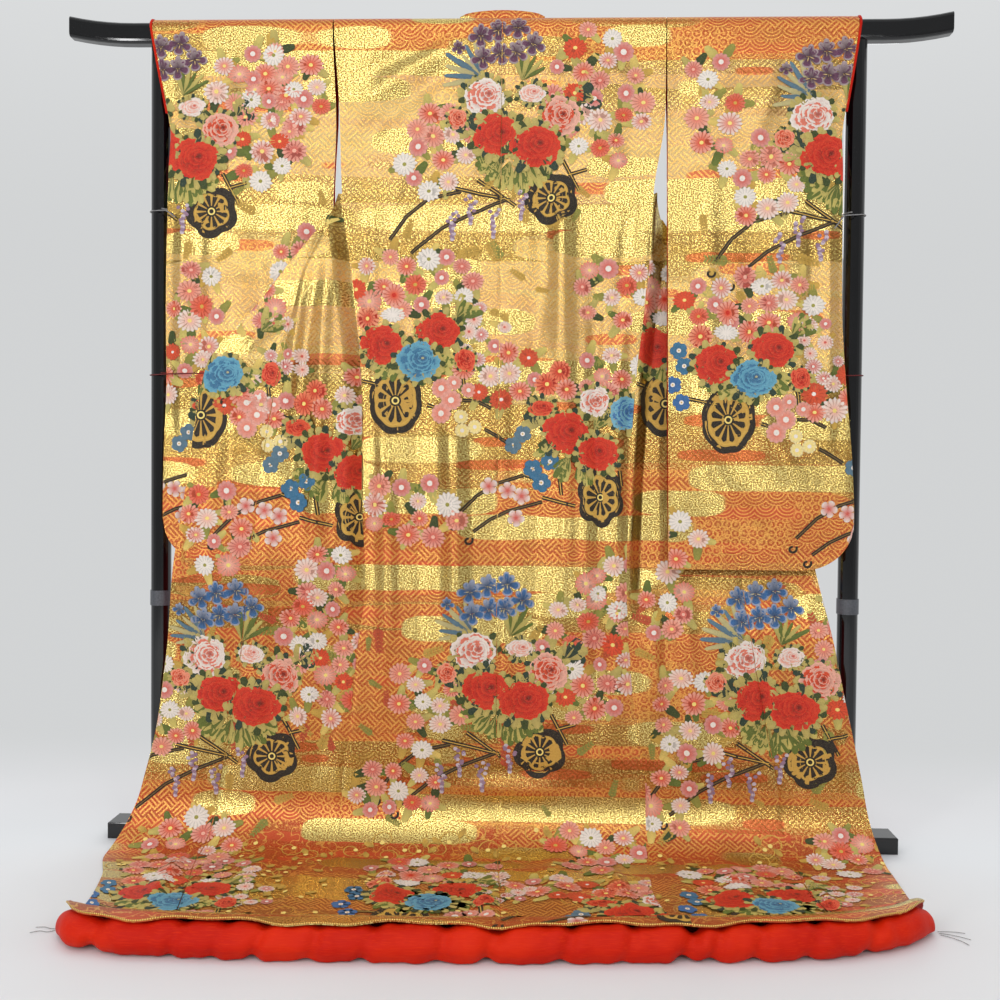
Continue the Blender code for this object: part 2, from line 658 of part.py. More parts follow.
def hem_threads(finish):
    """Loose ends of the tacking thread at both corners of the hem, lying on the floor."""
    left = Vector((seam_x("edge_left", CLOTH_LENGTH) - ROLL_OVERHANG - 0.001, -0.462, THREAD_RADIUS + 0.0005))
    right = Vector((seam_x("edge_right", CLOTH_LENGTH) + ROLL_OVERHANG + 0.001, -0.400, THREAD_RADIUS + 0.0005))
    for name, start, ways in (
        ("hem_thread_left_1", left, ((-0.010, -0.006), (-0.022, -0.003), (-0.034, -0.010))),
        ("hem_thread_left_2", left + Vector((0.0, 0.006, 0)), ((-0.010, 0.001), (-0.022, 0.006), (-0.034, 0.004))),
        ("hem_thread_right_1", right, ((0.012, -0.008), (0.024, -0.022), (0.030, -0.036))),
        ("hem_thread_right_2", right + Vector((0.0, 0.006, 0)), ((0.014, -0.004), (0.028, -0.012), (0.040, -0.022))),
        ("hem_thread_right_3", right + Vector((0.0, 0.012, 0)), ((0.014, 0.001), (0.028, 0.000), (0.040, -0.004))),
    ):
        route = [start] + [start + Vector((x, y, 0)) for x, y in ways]
        tube(name, smooth_route(route, 16), THREAD_RADIUS, finish)


def stand_on_origin():
    """Everything hangs from one empty, placed so that the origin is under the middle of the object."""
    front = min(corner.co.y for corner in bpy.data.objects["hem_roll"].data.vertices)
    whole = bpy.data.objects.new("uchikake_on_stand", None)
    bpy.context.scene.collection.objects.link(whole)
    for obj in bpy.context.scene.objects:
        if obj is not whole:
            obj.parent = whole
    whole.location.y = -(front + FOOT_REAR) / 2


def main():
    clear_scene()
    lacquer = material("black_lacquer", LACQUER, 0.15)
    joint = material("joint_grey", JOINT_GREY, 0.35)
    brocade = material("gold_brocade", BROCADE, 0.4, 0.4)
    lining = material("vermilion_silk", VERMILION, 0.5)
    grey = material("grey_cord", GREY_CORD, 0.7)
    red = material("red_cord", RED_CORD, 0.7)

    top_bar(lacquer)
    stretcher(lacquer)
    for side in ("left", "right"):
        post(side, lacquer)
        joint_sleeve(side, joint)
        foot(side, lacquer)

    body_panel("back_left", "side_left", "centre", FOLD_LINE, 11, brocade)
    body_panel("back_right", "centre", "side_right", FOLD_LINE, 11, brocade)
    body_panel("front_left", "okumi_left", "side_left", SLIT_END, 9, brocade, -1.6)
    body_panel("front_right", "side_right", "okumi_right", SLIT_END, 9, brocade, 1.6)
    body_panel("okumi_left", "edge_left", "okumi_left", OKUMI_START, 5, brocade)
    body_panel("okumi_right", "okumi_right", "edge_right", OKUMI_START, 5, brocade)
    collar_neck(brocade)
    for side in ("left", "right"):
        front_top(side, brocade)
        collar_edge(side, brocade)
        for layer in ("near", "far"):
            sleeve(side, layer, brocade)
        cuff_piping(side, lining)
    hem_roll(lining)

    post_tie("sleeve_tie_left", "left", 1.172, Vector((-0.603, -0.0400, 1.156)), TIE_RADIUS, grey)
    post_tie("sleeve_tie_right", "right", 1.166, Vector((0.596, -0.0410, 1.136)), TIE_RADIUS, grey)
    post_tie("body_tie_left", "left", 0.868, Vector((-0.541, -0.0665, 0.868)), TIE_RADIUS, red)
    post_tie("body_tie_right", "right", 0.874, Vector((0.530, 0.0075, 0.872)), TIE_RADIUS, red,
             over_sleeve=False)
    hem_threads(grey)
    stand_on_origin()


main()
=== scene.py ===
"""Looks of the uchikake wedding kimono on its lacquered stand. Metres, +Z up, the garment's back faces -Y.

The garment is made of sheets. A point of a sheet is given by x, the place along the bar, and down, the
length down the cloth from the shoulder fold. The woven flower carts are laid on in the same two lengths.
"""

import json
import math
import random

import bmesh
import bpy
import numpy as np
from mathutils import Matrix, Vector

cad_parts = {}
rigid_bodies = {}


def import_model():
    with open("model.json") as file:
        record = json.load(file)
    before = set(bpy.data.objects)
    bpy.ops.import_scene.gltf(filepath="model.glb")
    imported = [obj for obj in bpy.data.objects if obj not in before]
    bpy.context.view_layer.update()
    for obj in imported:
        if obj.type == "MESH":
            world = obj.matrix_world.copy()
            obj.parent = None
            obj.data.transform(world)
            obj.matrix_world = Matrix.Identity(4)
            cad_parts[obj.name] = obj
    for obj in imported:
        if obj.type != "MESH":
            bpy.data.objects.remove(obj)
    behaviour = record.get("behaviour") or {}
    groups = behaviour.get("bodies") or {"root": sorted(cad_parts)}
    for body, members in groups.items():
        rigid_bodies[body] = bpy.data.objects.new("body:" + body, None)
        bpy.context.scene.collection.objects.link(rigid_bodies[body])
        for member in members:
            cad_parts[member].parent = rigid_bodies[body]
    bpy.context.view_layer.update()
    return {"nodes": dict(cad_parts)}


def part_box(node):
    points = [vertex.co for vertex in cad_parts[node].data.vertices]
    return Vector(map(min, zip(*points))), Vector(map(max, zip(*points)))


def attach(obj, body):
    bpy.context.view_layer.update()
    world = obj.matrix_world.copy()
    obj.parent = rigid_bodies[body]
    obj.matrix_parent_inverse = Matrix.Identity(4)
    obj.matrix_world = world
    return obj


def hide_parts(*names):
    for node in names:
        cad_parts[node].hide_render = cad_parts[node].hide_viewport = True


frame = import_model()


def middle_y(node):
    low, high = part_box(node)
    return (low[1] + high[1]) / 2


# The stand's bar, which the whole garment is measured from
BAR_Y = middle_y("top_bar")

# Cloth
WALL = 0.0020
COLUMN_STEP = 0.0051
ROW_STEP = 0.0112
SHOULDER_TOP = 1.5265
SHOULDER_HALF_DEPTH = 0.029
SHOULDER_ROUND = 0.022
HANG_TOP = SHOULDER_TOP - SHOULDER_ROUND
SHOULDER_ARC = math.pi / 2 * math.sqrt((SHOULDER_HALF_DEPTH ** 2 + SHOULDER_ROUND ** 2) / 2)
HANG_LEAN = 0.010
TURN_RADIUS = 0.090
FLOOR_LIFT = 0.0027
HANG_LENGTH = HANG_TOP - TURN_RADIUS - FLOOR_LIFT
HEM_RISE_START = 0.085
HEM_RISE_END = 0.020
CLOTH_LENGTH = 1.980
SLIT_END = 0.345
OKUMI_START = 0.385
SLIT_Z = 1.205

# Hem roll
ROLL_HEIGHT = 0.050
ROLL_HALF_DEPTH = 0.036
ROLL_OVERHANG = 0.008
ROLL_END_LENGTH = 0.045
ROLL_CLEARANCE = 0.0034

# Sleeves
SLEEVE_BOTTOM = 0.518
SLEEVE_CORNER = 0.085
SLEEVE_EDGE_Y = -0.0310
SLEEVE_BELLY = 0.012
SLEEVE_HOLLOW = 0.019
SLEEVE_WALLS = 0.0048

# Where each edge and seam runs down the cloth
SECTION_COLUMNS = ("down", "edge_left", "okumi_left", "side_left", "centre", "side_right", "okumi_right",
                   "edge_right")
SECTIONS = (
    (0.000, -0.300, -0.300, -0.3145, -0.005, 0.2920, 0.292, 0.292),
    (0.190, -0.300, -0.300, -0.3020, -0.005, 0.2920, 0.292, 0.292),
    (0.345, -0.304, -0.303, -0.2960, -0.005, 0.2720, 0.279, 0.280),
    (0.490, -0.398, -0.362, -0.2780, -0.005, 0.2640, 0.345, 0.385),
    (0.610, -0.497, -0.392, -0.2650, -0.005, 0.2520, 0.375, 0.487),
    (0.655, -0.536, -0.402, -0.2610, -0.005, 0.2480, 0.385, 0.525),
    (0.715, -0.551, -0.415, -0.2570, -0.005, 0.2440, 0.398, 0.540),
    (0.880, -0.575, -0.442, -0.2560, -0.006, 0.2360, 0.420, 0.556),
    (1.050, -0.602, -0.462, -0.2490, -0.006, 0.2320, 0.445, 0.586),
    (1.200, -0.620, -0.480, -0.2640, -0.005, 0.2400, 0.466, 0.616),
    (1.330, -0.637, -0.499, -0.2760, -0.004, 0.2540, 0.492, 0.645),
    (1.440, -0.664, -0.519, -0.2900, -0.002, 0.2700, 0.512, 0.668),
    (1.580, -0.700, -0.531, -0.2920, 0.003, 0.2700, 0.526, 0.688),
    (1.720, -0.664, -0.509, -0.2620, 0.012, 0.2650, 0.523, 0.683),
    (1.880, -0.640, -0.482, -0.2500, 0.019, 0.2880, 0.542, 0.677),
    (1.980, -0.638, -0.474, -0.2470, 0.021, 0.2960, 0.550, 0.674),
)

# Front of the hem roll on the floor
HEM_LINE = (
    (-0.665, -0.490),
    (-0.600, -0.545),
    (-0.500, -0.565),
    (-0.325, -0.569),
    (0.024, -0.560),
    (0.300, -0.540),
    (0.467, -0.523),
    (0.597, -0.485),
    (0.700, -0.420),
)

# Large folds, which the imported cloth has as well: each fades in and out between its two ends
# Columns: x_top, down_top, x_foot, down_foot, half_width, height
FOLDS = (
    (-0.110, 0.30, -0.065, 1.38, 0.026, 0.012),
    (-0.165, 0.45, -0.150, 1.30, 0.016, -0.006),
    (-0.215, 0.55, -0.215, 1.36, 0.017, 0.008),
    (0.105, 0.22, 0.125, 1.20, 0.018, 0.010),
    (0.060, 0.45, 0.060, 1.30, 0.016, -0.006),
    (0.165, 0.40, 0.185, 1.45, 0.014, -0.010),
    (0.215, 0.45, 0.215, 1.45, 0.014, 0.007),
    (-0.315, 0.42, -0.345, 1.05, 0.014, 0.012),
    (-0.345, 0.50, -0.400, 1.00, 0.014, -0.007),
    (-0.300, 0.75, -0.330, 1.45, 0.016, -0.008),
    (-0.480, 0.70, -0.540, 1.40, 0.022, 0.007),
    (0.330, 1.02, 0.370, 1.48, 0.020, 0.009),
    (0.530, 1.02, 0.560, 1.48, 0.022, -0.006),
    (-0.420, 1.45, -0.400, 1.80, 0.030, 0.006),
    (0.100, 1.50, 0.110, 1.85, 0.030, 0.007),
    (0.400, 1.45, 0.420, 1.85, 0.030, 0.006),
)

# Creases: soft ridges and troughs along a straight line from one end to the other
CREASE_DEPTH = 1.80
# Columns: x_start, down_start, x_end, down_end, half_width, height
BODY_CREASES = (
    (-0.086, 0.700, -0.082, 1.200, 0.020, 0.0055),
    (-0.205, 0.800, -0.198, 1.260, 0.014, 0.0045),
    (0.105, 0.300, 0.100, 0.700, 0.022, 0.0055),
    (0.168, 0.800, 0.172, 1.180, 0.016, 0.0050),
    (0.238, 0.540, 0.226, 1.100, 0.017, -0.0065),
    (0.272, 1.020, 0.290, 1.320, 0.014, 0.0045),
    (-0.150, 0.350, -0.152, 0.760, 0.018, 0.0045),
    (0.020, 0.560, 0.026, 0.980, 0.018, -0.0040),
    (-0.050, 0.050, -0.290, 0.190, 0.016, 0.0045),
    (-0.080, 0.100, -0.290, 0.262, 0.014, -0.0030),
    (-0.100, 0.060, -0.280, 0.130, 0.010, -0.0025),
    (0.050, 0.050, 0.275, 0.170, 0.018, 0.0045),
    (0.080, 0.110, 0.280, 0.250, 0.014, -0.0030),
    (0.120, 0.170, 0.250, 0.330, 0.012, 0.0025),
    (-0.120, 0.190, -0.200, 0.420, 0.013, 0.0030),
    (-0.040, 0.180, -0.045, 0.520, 0.012, -0.0022),
    (0.040, 0.200, 0.050, 0.560, 0.010, 0.0020),
    (-0.240, 0.300, -0.235, 0.800, 0.009, 0.0028),
    (0.230, 0.330, 0.200, 0.700, 0.010, -0.0030),
    (0.150, 0.750, 0.155, 1.250, 0.009, 0.0030),
    (0.010, 0.900, 0.014, 1.400, 0.010, 0.0022),
    (-0.110, 1.430, 0.130, 1.440, 0.012, 0.0030),
    (-0.060, 1.405, 0.160, 1.400, 0.009, -0.0020),
    (-0.350, 0.440, -0.400, 0.800, 0.009, 0.0040),
    (-0.380, 0.560, -0.480, 0.640, 0.009, 0.0030),
    (-0.400, 0.720, -0.530, 0.720, 0.011, 0.0035),
    (-0.360, 0.900, -0.500, 0.770, 0.013, -0.0035),
    (-0.420, 0.900, -0.450, 1.400, 0.012, 0.0035),
    (-0.380, 1.000, -0.390, 1.450, 0.011, -0.0030),
    (-0.560, 0.850, -0.590, 1.350, 0.010, 0.0030),
    (0.300, 1.060, 0.310, 1.420, 0.011, -0.0032),
    (0.420, 1.050, 0.440, 1.450, 0.012, 0.0035),
    (0.480, 1.060, 0.490, 1.400, 0.010, -0.0025),
    (0.600, 1.100, 0.640, 1.460, 0.012, 0.0035),
    (-0.200, 1.560, -0.160, 1.850, 0.016, 0.0035),
    (-0.060, 1.600, 0.020, 1.900, 0.014, 0.0030),
    (0.200, 1.580, 0.230, 1.880, 0.016, 0.0040),
    (-0.330, 1.600, -0.320, 1.850, 0.014, 0.0030),
    (-0.560, 1.580, -0.540, 1.850, 0.016, 0.0040),
    (0.520, 1.580, 0.560, 1.850, 0.014, 0.0035),
)
SLEEVE_CREASES = (
    (0.330, 0.165, 0.600, 0.160, 0.012, 0.0030),
    (0.330, 0.270, 0.600, 0.285, 0.010, 0.0024),
    (0.350, 0.500, 0.590, 0.480, 0.011, 0.0026),
    (0.350, 0.700, 0.590, 0.720, 0.010, 0.0024),
    (0.380, 0.620, 0.560, 0.900, 0.022, 0.0045),
    (0.340, 0.780, 0.500, 1.000, 0.018, -0.0030),
    (0.590, 0.300, 0.592, 0.850, 0.012, 0.0038),
    (0.555, 0.350, 0.560, 0.800, 0.012, -0.0025),
    (0.370, 0.250, 0.375, 0.900, 0.016, 0.0035),
    (0.450, 0.300, 0.440, 0.950, 0.020, -0.0028),
    (0.500, 0.100, 0.430, 0.330, 0.018, 0.0030),
)
SLEEVE_EDGE_COLUMNS = ("z", "left", "right")
SLEEVE_EDGE = (
    (0.500, 0.628, 0.642),
    (0.620, 0.628, 0.642),
    (0.720, 0.626, 0.637),
    (0.870, 0.621, 0.623),
    (1.000, 0.622, 0.614),
    (1.250, 0.617, 0.611),
    (1.310, 0.613, 0.609),
    (1.380, 0.624, 0.618),
    (1.450, 0.638, 0.629),
    (1.530, 0.650, 0.638),
)
SLEEVE_SEAM = (
    (0.500, 0.311, 0.307),
    (0.900, 0.312, 0.302),
    (1.200, 0.312, 0.298),
    (1.330, 0.308, 0.2965),
    (1.530, 0.3160, 0.2935),
)
# Far layer of a sleeve along its outer edge: it comes round from behind the post
FAR_EDGE_COLUMNS = ("z", "out", "y")
FAR_EDGE = (
    (1.300, 0.610, -0.012),
    (1.360, 0.610, 0.012),
    (1.420, 0.614, 0.0255),
    (1.530, 0.636, 0.0258),
)
FAR_EDGE_START = 1.230

BODY_SEAMS = (("centre", 0.060), ("side_left", 0.400), ("side_right", 0.400), ("okumi_left", 0.420),
              ("okumi_right", 0.420))

NECK_HALF_WIDTH = 0.085

FLOOR_Z = -0.0004

# Camera
CAMERA_PLACE = (0.0772, BAR_Y - 2.1495, 0.6973)
CAMERA_TURN = math.radians(2.13)
CAMERA_DIP = math.radians(1.508)
CAMERA_ROLL = math.radians(-0.51)
CAMERA_LENS = 41.58


# ---------------------------------------------------------------- the garment's form

def smooth(share):
    share = np.clip(share, 0.0, 1.0)
    return share * share * (3 - 2 * share)


def mix(a, b, share):
    return a + (b - a) * share


def along_table(rows, column, at):
    """Smooth values of a column at places in the first column, without overshoot."""
    table = np.array(rows, float)
    places, values = table[:, 0], table[:, column]
    rises = np.diff(values) / np.diff(places)
    before, after = rises[:-1], rises[1:]
    total = before + after
    inner = np.where(before * after > 0, 2 * before * after / np.where(total == 0, 1, total), 0)
    slopes = np.concatenate([[0], inner, [0]])
    at = np.clip(at, places[0], places[-1])
    k = np.clip(np.searchsorted(places, at, side="right") - 1, 0, len(places) - 2)
    span = places[k + 1] - places[k]
    t = (at - places[k]) / span
    return ((2 * t ** 3 - 3 * t ** 2 + 1) * values[k] + (t ** 3 - 2 * t ** 2 + t) * span * slopes[k]
            + (3 * t ** 2 - 2 * t ** 3) * values[k + 1] + (t ** 3 - t ** 2) * span * slopes[k + 1])


def seam_x(name, down):
    return along_table(SECTIONS, SECTION_COLUMNS.index(name), down)


def roll_middle(x):
    return along_table(HEM_LINE, 1, x) + ROLL_HALF_DEPTH


def roll_top(off):
    """Height of the hem roll's upper face at a distance in front of its middle."""
    share = np.clip(np.abs(off) / ROLL_HALF_DEPTH, 0, 0.98)
    return ROLL_HEIGHT / 2 * (1 + (1 - share ** 2.2) ** (1 / 2.2))


def to_roll_end(x):
    """Distance from a place on the hem to the nearer end of the roll."""
    left = float(seam_x("edge_left", CLOTH_LENGTH)) - ROLL_OVERHANG
    right = float(seam_x("edge_right", CLOTH_LENGTH)) + ROLL_OVERHANG
    return np.minimum(x - left, right - x)


def roll_size(x):
    share = np.clip(to_roll_end(x) / ROLL_END_LENGTH, 0, 1)
    return 0.35 + 0.65 * np.sqrt(1 - (1 - share) ** 2)


def profile(x, down):
    """Place (y, z) of the cloth's outer face and its lean: 0 where it hangs and 1 where it lies."""
    arc = np.clip(down / SHOULDER_ARC, 0, 1) * math.pi / 2
    gone = np.maximum(down - SHOULDER_ARC, 0)
    y = -SHOULDER_HALF_DEPTH * np.sin(arc) - HANG_LEAN * np.clip(gone / HANG_LENGTH, 0, 1)
    z = HANG_TOP + SHOULDER_ROUND * np.cos(arc) - np.minimum(gone, HANG_LENGTH)
    turn_length = TURN_RADIUS * math.pi / 2
    turned = np.clip((gone - HANG_LENGTH) / turn_length, 0, 1)
    y = y - TURN_RADIUS * (1 - np.cos(turned * math.pi / 2))
    z = z - TURN_RADIUS * np.sin(turned * math.pi / 2)
    floor_start = SHOULDER_ARC + HANG_LENGTH + turn_length
    share = np.maximum(down - floor_start, 0) / (CLOTH_LENGTH - floor_start)
    middle = roll_middle(x)
    lying_y = mix(-SHOULDER_HALF_DEPTH - HANG_LEAN - TURN_RADIUS, middle, share)
    rise = smooth((HEM_RISE_START - (lying_y - middle)) / (HEM_RISE_START - HEM_RISE_END))
    over_roll = roll_top(np.minimum(lying_y - middle, 0)) * roll_size(x) + ROLL_CLEARANCE
    lies = down > floor_start
    y = np.where(lies, lying_y, y)
    z = np.where(lies, mix(FLOOR_LIFT, over_roll, rise), z)
    return y, z, smooth(turned)


def fold_height(x, down):
    total = np.zeros_like(x)
    for x_top, down_top, x_foot, down_foot, half_width, height in FOLDS:
        share = (down - down_top) / (down_foot - down_top)
        line = mix(x_top, x_foot, share)
        fade = smooth(share * 4) * smooth((1 - share) * 4)
        total += height * fade * np.exp(-((x - line) / half_width) ** 2)
    return total


def crease_height(x, down, creases):
    total = np.zeros_like(x)
    for x_start, down_start, x_end, down_end, half_width, height in creases:
        dx, dv = x_end - x_start, down_end - down_start
        length = math.hypot(dx, dv)
        along = ((x - x_start) * dx + (down - down_start) * dv) / length ** 2
        off = ((x - x_start) * dv - (down - down_start) * dx) / length
        fade = smooth(along * 3) * smooth((1 - along) * 3)
        total += CREASE_DEPTH * height * fade * np.exp(-(off / half_width) ** 2)
    return total


def slack(x, down):
    """The slight unevenness of heavy hanging cloth."""
    return (0.0020 * np.sin(31 * x + 2.1 * np.sin(2.3 * down + 0.6)) * np.sin(2.9 * down + 11 * x)
            + 0.0009 * np.sin(67 * x + 5.1 * down + 1.3) * np.sin(5.7 * down + 0.8)
            + 0.0003 * np.sin(190 * x + 21 * down) * np.sin(31 * down + 26 * x))


def lane(x, down):
    """How far the fronts stand off the back: the left one passes over its sleeve, the right one behind."""
    left = seam_x("side_left", down) - x
    right = x - seam_x("side_right", down)
    over = 0.026 * smooth(left / 0.030) * (1 - smooth((down - 1.00) / 0.20))
    behind = 0.041 * smooth(right / 0.028) * (1 - smooth((down - 1.01) / 0.15))
    return np.where(down > SLIT_END, over - behind, 0.0)


def seam_groove(x, down):
    """The stitching pulls each seam in a little, more at some places than at others."""
    total = np.zeros_like(x)
    for name, start in BODY_SEAMS:
        off = x - seam_x(name, down)
        pull = 0.0021 + 0.0007 * np.sin(38 * down + 9 * start)
        total += pull * np.exp(-(off / 0.0046) ** 2) * (down > start)
    return total


def body_place(x, down):
    y, z, lying = profile(x, down)
    proud = fold_height(x, down) + crease_height(x, down, BODY_CREASES) - seam_groove(x, down)
    proud += slack(x, down) * smooth((down - 0.05) / 0.10) + lane(x, down)
    flat = np.maximum(proud, 0.0) * smooth((CLOTH_LENGTH - 0.03 - down) / 0.05)
    proud = mix(proud, flat, lying)
    tilt = lying * math.pi / 2
    return np.stack([x, y - proud * np.cos(tilt), z + proud * np.sin(tilt)], -1)


def sleeve_bottom(share):
    corner = np.clip((share - 0.72) / 0.28, 0, 1)
    return SLEEVE_BOTTOM + SLEEVE_CORNER * (1 - np.sqrt(np.maximum(0.0, 1 - corner ** 2)))


def sleeve_lines(side, z):
    column = SLEEVE_EDGE_COLUMNS.index(side)
    return along_table(SLEEVE_SEAM, column, z), along_table(SLEEVE_EDGE, column, z)


def sleeve_place(side, layer, x, down):
    """A point of a sleeve: x is its distance from the middle here."""
    arc = np.clip(down / SHOULDER_ARC, 0, 1) * math.pi / 2
    depth = SHOULDER_HALF_DEPTH * np.sin(arc)
    z = HANG_TOP + SHOULDER_ROUND * np.cos(arc) - np.maximum(down - SHOULDER_ARC, 0)
    inner, outer = sleeve_lines(side, z)
    share = np.clip((x - inner) / (outer - inner), 0, 1)
    bottom = sleeve_bottom(share)
    lower = smooth((HANG_TOP - z) / 0.25)
    full = np.sin(math.pi * np.minimum(1.0, share * 0.94 + 0.03)) ** 0.7 * smooth((z - bottom + 0.02) / 0.16)
    proud = crease_height(x, down, SLEEVE_CREASES) + slack(x + 0.37, down)
    proud *= smooth((z - bottom) / 0.05) * smooth((down - 0.05) / 0.08) * smooth((1 - share) / 0.08)
    if layer == "near":
        y = mix(-SHOULDER_HALF_DEPTH, SLEEVE_EDGE_Y, lower) - SLEEVE_BELLY * full * lower
        y = np.where(down < SHOULDER_ARC, -depth, y - proud)
        return np.stack([x, y, z], -1)
    far_edge = SLEEVE_EDGE_Y + SLEEVE_WALLS
    at_rim = smooth((z - FAR_EDGE_START) / (FAR_EDGE[0][0] - FAR_EDGE_START))
    rim_x = along_table(FAR_EDGE, FAR_EDGE_COLUMNS.index("out"), z)
    rim_y = mix(far_edge, along_table(FAR_EDGE, FAR_EDGE_COLUMNS.index("y"), z), at_rim)
    x = inner + (mix(outer, np.minimum(rim_x, outer), at_rim) - inner) * share
    open_y = mix(SHOULDER_HALF_DEPTH, SLEEVE_EDGE_Y + SLEEVE_HOLLOW, lower)
    low_y = mix(far_edge, open_y, smooth((z - bottom) / 0.16))
    y = mix(low_y, rim_y, smooth((share - 0.60) / 0.40)) + np.maximum(proud, 0) * (1 - at_rim)
    y = np.where(down < SHOULDER_ARC, depth, y)
    return np.stack([x, y, z], -1)


def front_top_place(x, down):
    """The front between the shoulder and the side slit, behind the bar."""
    arc = np.clip(down / SHOULDER_ARC, 0, 1) * math.pi / 2
    z = HANG_TOP + SHOULDER_ROUND * np.cos(arc) - np.maximum(down - SHOULDER_ARC, 0)
    share = np.clip((HANG_TOP - z) / (HANG_TOP - SLIT_Z), 0, 1)
    y = mix(SHOULDER_HALF_DEPTH, 0.004, smooth(share))
    y = np.where(down < SHOULDER_ARC, SHOULDER_HALF_DEPTH * np.sin(arc), y)
    sag = 0.002 * np.sin(40 * x + 6 * down) * smooth(share * 3) * smooth((1 - share) * 4)
    return np.stack([x, y + sag, z], -1)


class Sheet:
    """A sheet of the garment between two lines, each a place along x for a length down the cloth."""

    def __init__(self, name, left, right, place, start, end, cut, faces_back=True, mirrored=False, area=None):
        self.name, self.left, self.right, self.place = name, left, right, place
        self.start, self.end, self.cut, self.area = start, end, cut, area
        self.faces_back, self.mirrored = faces_back, mirrored

    def on_face(self, x, down):
        """Places on the sheet's outer face, as if both sides of the garment were its right side."""
        return self.place(np.abs(x) if self.mirrored else x, down)

    def points(self, x, down, lift=0.0):
        """Places on the sheet, moved out from its face. Everything is measured with the bar at y = 0."""
        across = np.abs(x) if self.mirrored else x
        reach = 0.0012
        here = self.place(across, down)
        a = self.place(across + reach, down) - self.place(across - reach, down)
        b = self.place(across, down + reach) - self.place(across, down - reach)
        out = np.cross(b, a) if self.faces_back else np.cross(a, b)
        out /= np.maximum(np.linalg.norm(out, axis=-1, keepdims=True), 1e-12)
        if self.mirrored:
            sign = np.where(x < 0, -1.0, 1.0)
            here[..., 0] *= sign
            out[..., 0] *= sign
        placed = here + out * np.asarray(lift)[..., None]
        placed[..., 1] += BAR_Y
        placed[..., 2] = np.maximum(placed[..., 2], 0.0004)
        return placed


def seam(name):
    return lambda down: seam_x(name, down)


def free_edge(side):
    """A front's free edge, drawn in a little at the hem's corner."""
    sign = 1 if side == "left" else -1
    return lambda down: seam_x(f"edge_{side}", down) + sign * 0.013 * smooth((down - 1.90) / 0.07)


def sleeve_line(side, which):
    sign = -1 if side == "left" else 1

    def line(down):
        z = HANG_TOP - np.maximum(down - SHOULDER_ARC, 0) + 0.01
        return sign * sleeve_lines(side, z)[which]
    return line


def hem_end(x):
    """The woven cloth's hem wavers over the top of the roll."""
    corner = 0.022 * (1 - smooth(to_roll_end(x) / 0.075))
    return CLOTH_LENGTH + 0.006 - corner + 0.007 * np.sin(23 * x + 1.0) + 0.004 * np.sin(61 * x + 0.4)


def level(down):
    return lambda x: np.full_like(x, down)


def sleeve_end(side):
    def end(x):
        inner, outer = sleeve_lines(side, np.full_like(x, SLEEVE_BOTTOM + 0.05))
        share = np.clip((np.abs(x) - inner) / (outer - inner), 0, 1)
        return SHOULDER_ARC + HANG_TOP - sleeve_bottom(share)
    return end


def front_top_inner(side):
    sign = -1 if side == "left" else 1

    def line(down):
        share = np.clip((down - SHOULDER_ARC) / (HANG_TOP - SLIT_Z), 0, 1)
        slit_x = abs(float(seam_x(f"side_{side}", SLIT_END))) - 0.011
        return sign * mix(NECK_HALF_WIDTH, slit_x, share)
    return line


def front_top_outer(side):
    sign = -1 if side == "left" else 1

    def line(down):
        share = np.clip((down - SHOULDER_ARC) / (HANG_TOP - SLIT_Z), 0, 1)
        top = abs(float(seam_x(f"side_{side}", 0.0))) - 0.001
        slit = abs(float(seam_x(f"side_{side}", SLIT_END))) - 0.001
        return sign * mix(top, slit, share)
    return line


def garment_sheets():
    made = [
        Sheet("back_left", seam("side_left"), seam("centre"), body_place, 0.0012, hem_end,
              (0.320, 2.000)),
        Sheet("back_right", seam("centre"), seam("side_right"), body_place, 0.0012, hem_end,
              (0.320, 2.000)),
        Sheet("front_left", seam("okumi_left"), seam("side_left"), body_place, SLIT_END, hem_end,
              (0.270, 1.660)),
        Sheet("front_right", seam("side_right"), seam("okumi_right"), body_place, SLIT_END, hem_end,
              (0.270, 1.660)),
        Sheet("okumi_left", free_edge("left"), seam("okumi_left"), body_place, OKUMI_START, hem_end,
              (0.170, 1.620)),
        Sheet("okumi_right", seam("okumi_right"), free_edge("right"), body_place, OKUMI_START, hem_end,
              (0.150, 1.620)),
    ]
    for side in ("left", "right"):
        slit_length = SHOULDER_ARC + HANG_TOP - SLIT_Z
        inner, outer = front_top_inner(side), front_top_outer(side)
        left, right = (outer, inner) if side == "left" else (inner, outer)
        made.append(Sheet(f"front_{side}_top", left, right,
                          front_top_place,
                          0.0012, level(slit_length), (0.225, 0.345), faces_back=False, mirrored=True,
                          area=0.050))
        for layer in ("near", "far"):
            inner, outer = sleeve_line(side, 0), sleeve_line(side, 1)
            left, right = (outer, inner) if side == "left" else (inner, outer)
            made.append(Sheet(f"sleeve_{side}_{layer}", left, right,
                              lambda x, down, s=side, f=layer: sleeve_place(s, f, x, down),
                              0.0012, sleeve_end(side), (0.335, 1.030), layer == "near", mirrored=True))
    return {sheet.name: sheet for sheet in made}


SHEETS = garment_sheets()


def mesh_object(name, points, faces, finishes, slots=None, smooth_faces=True):
    data = bpy.data.meshes.new(name)
    data.from_pydata([tuple(p) for p in points], [], [tuple(f) for f in faces])
    for finish in finishes:
        data.materials.append(finish)
    if slots is not None:
        data.polygons.foreach_set("material_index", slots)
    data.polygons.foreach_set("use_smooth", [smooth_faces] * len(faces))
    data.update()
    obj = bpy.data.objects.new(name, data)
    bpy.context.scene.collection.objects.link(obj)
    return obj


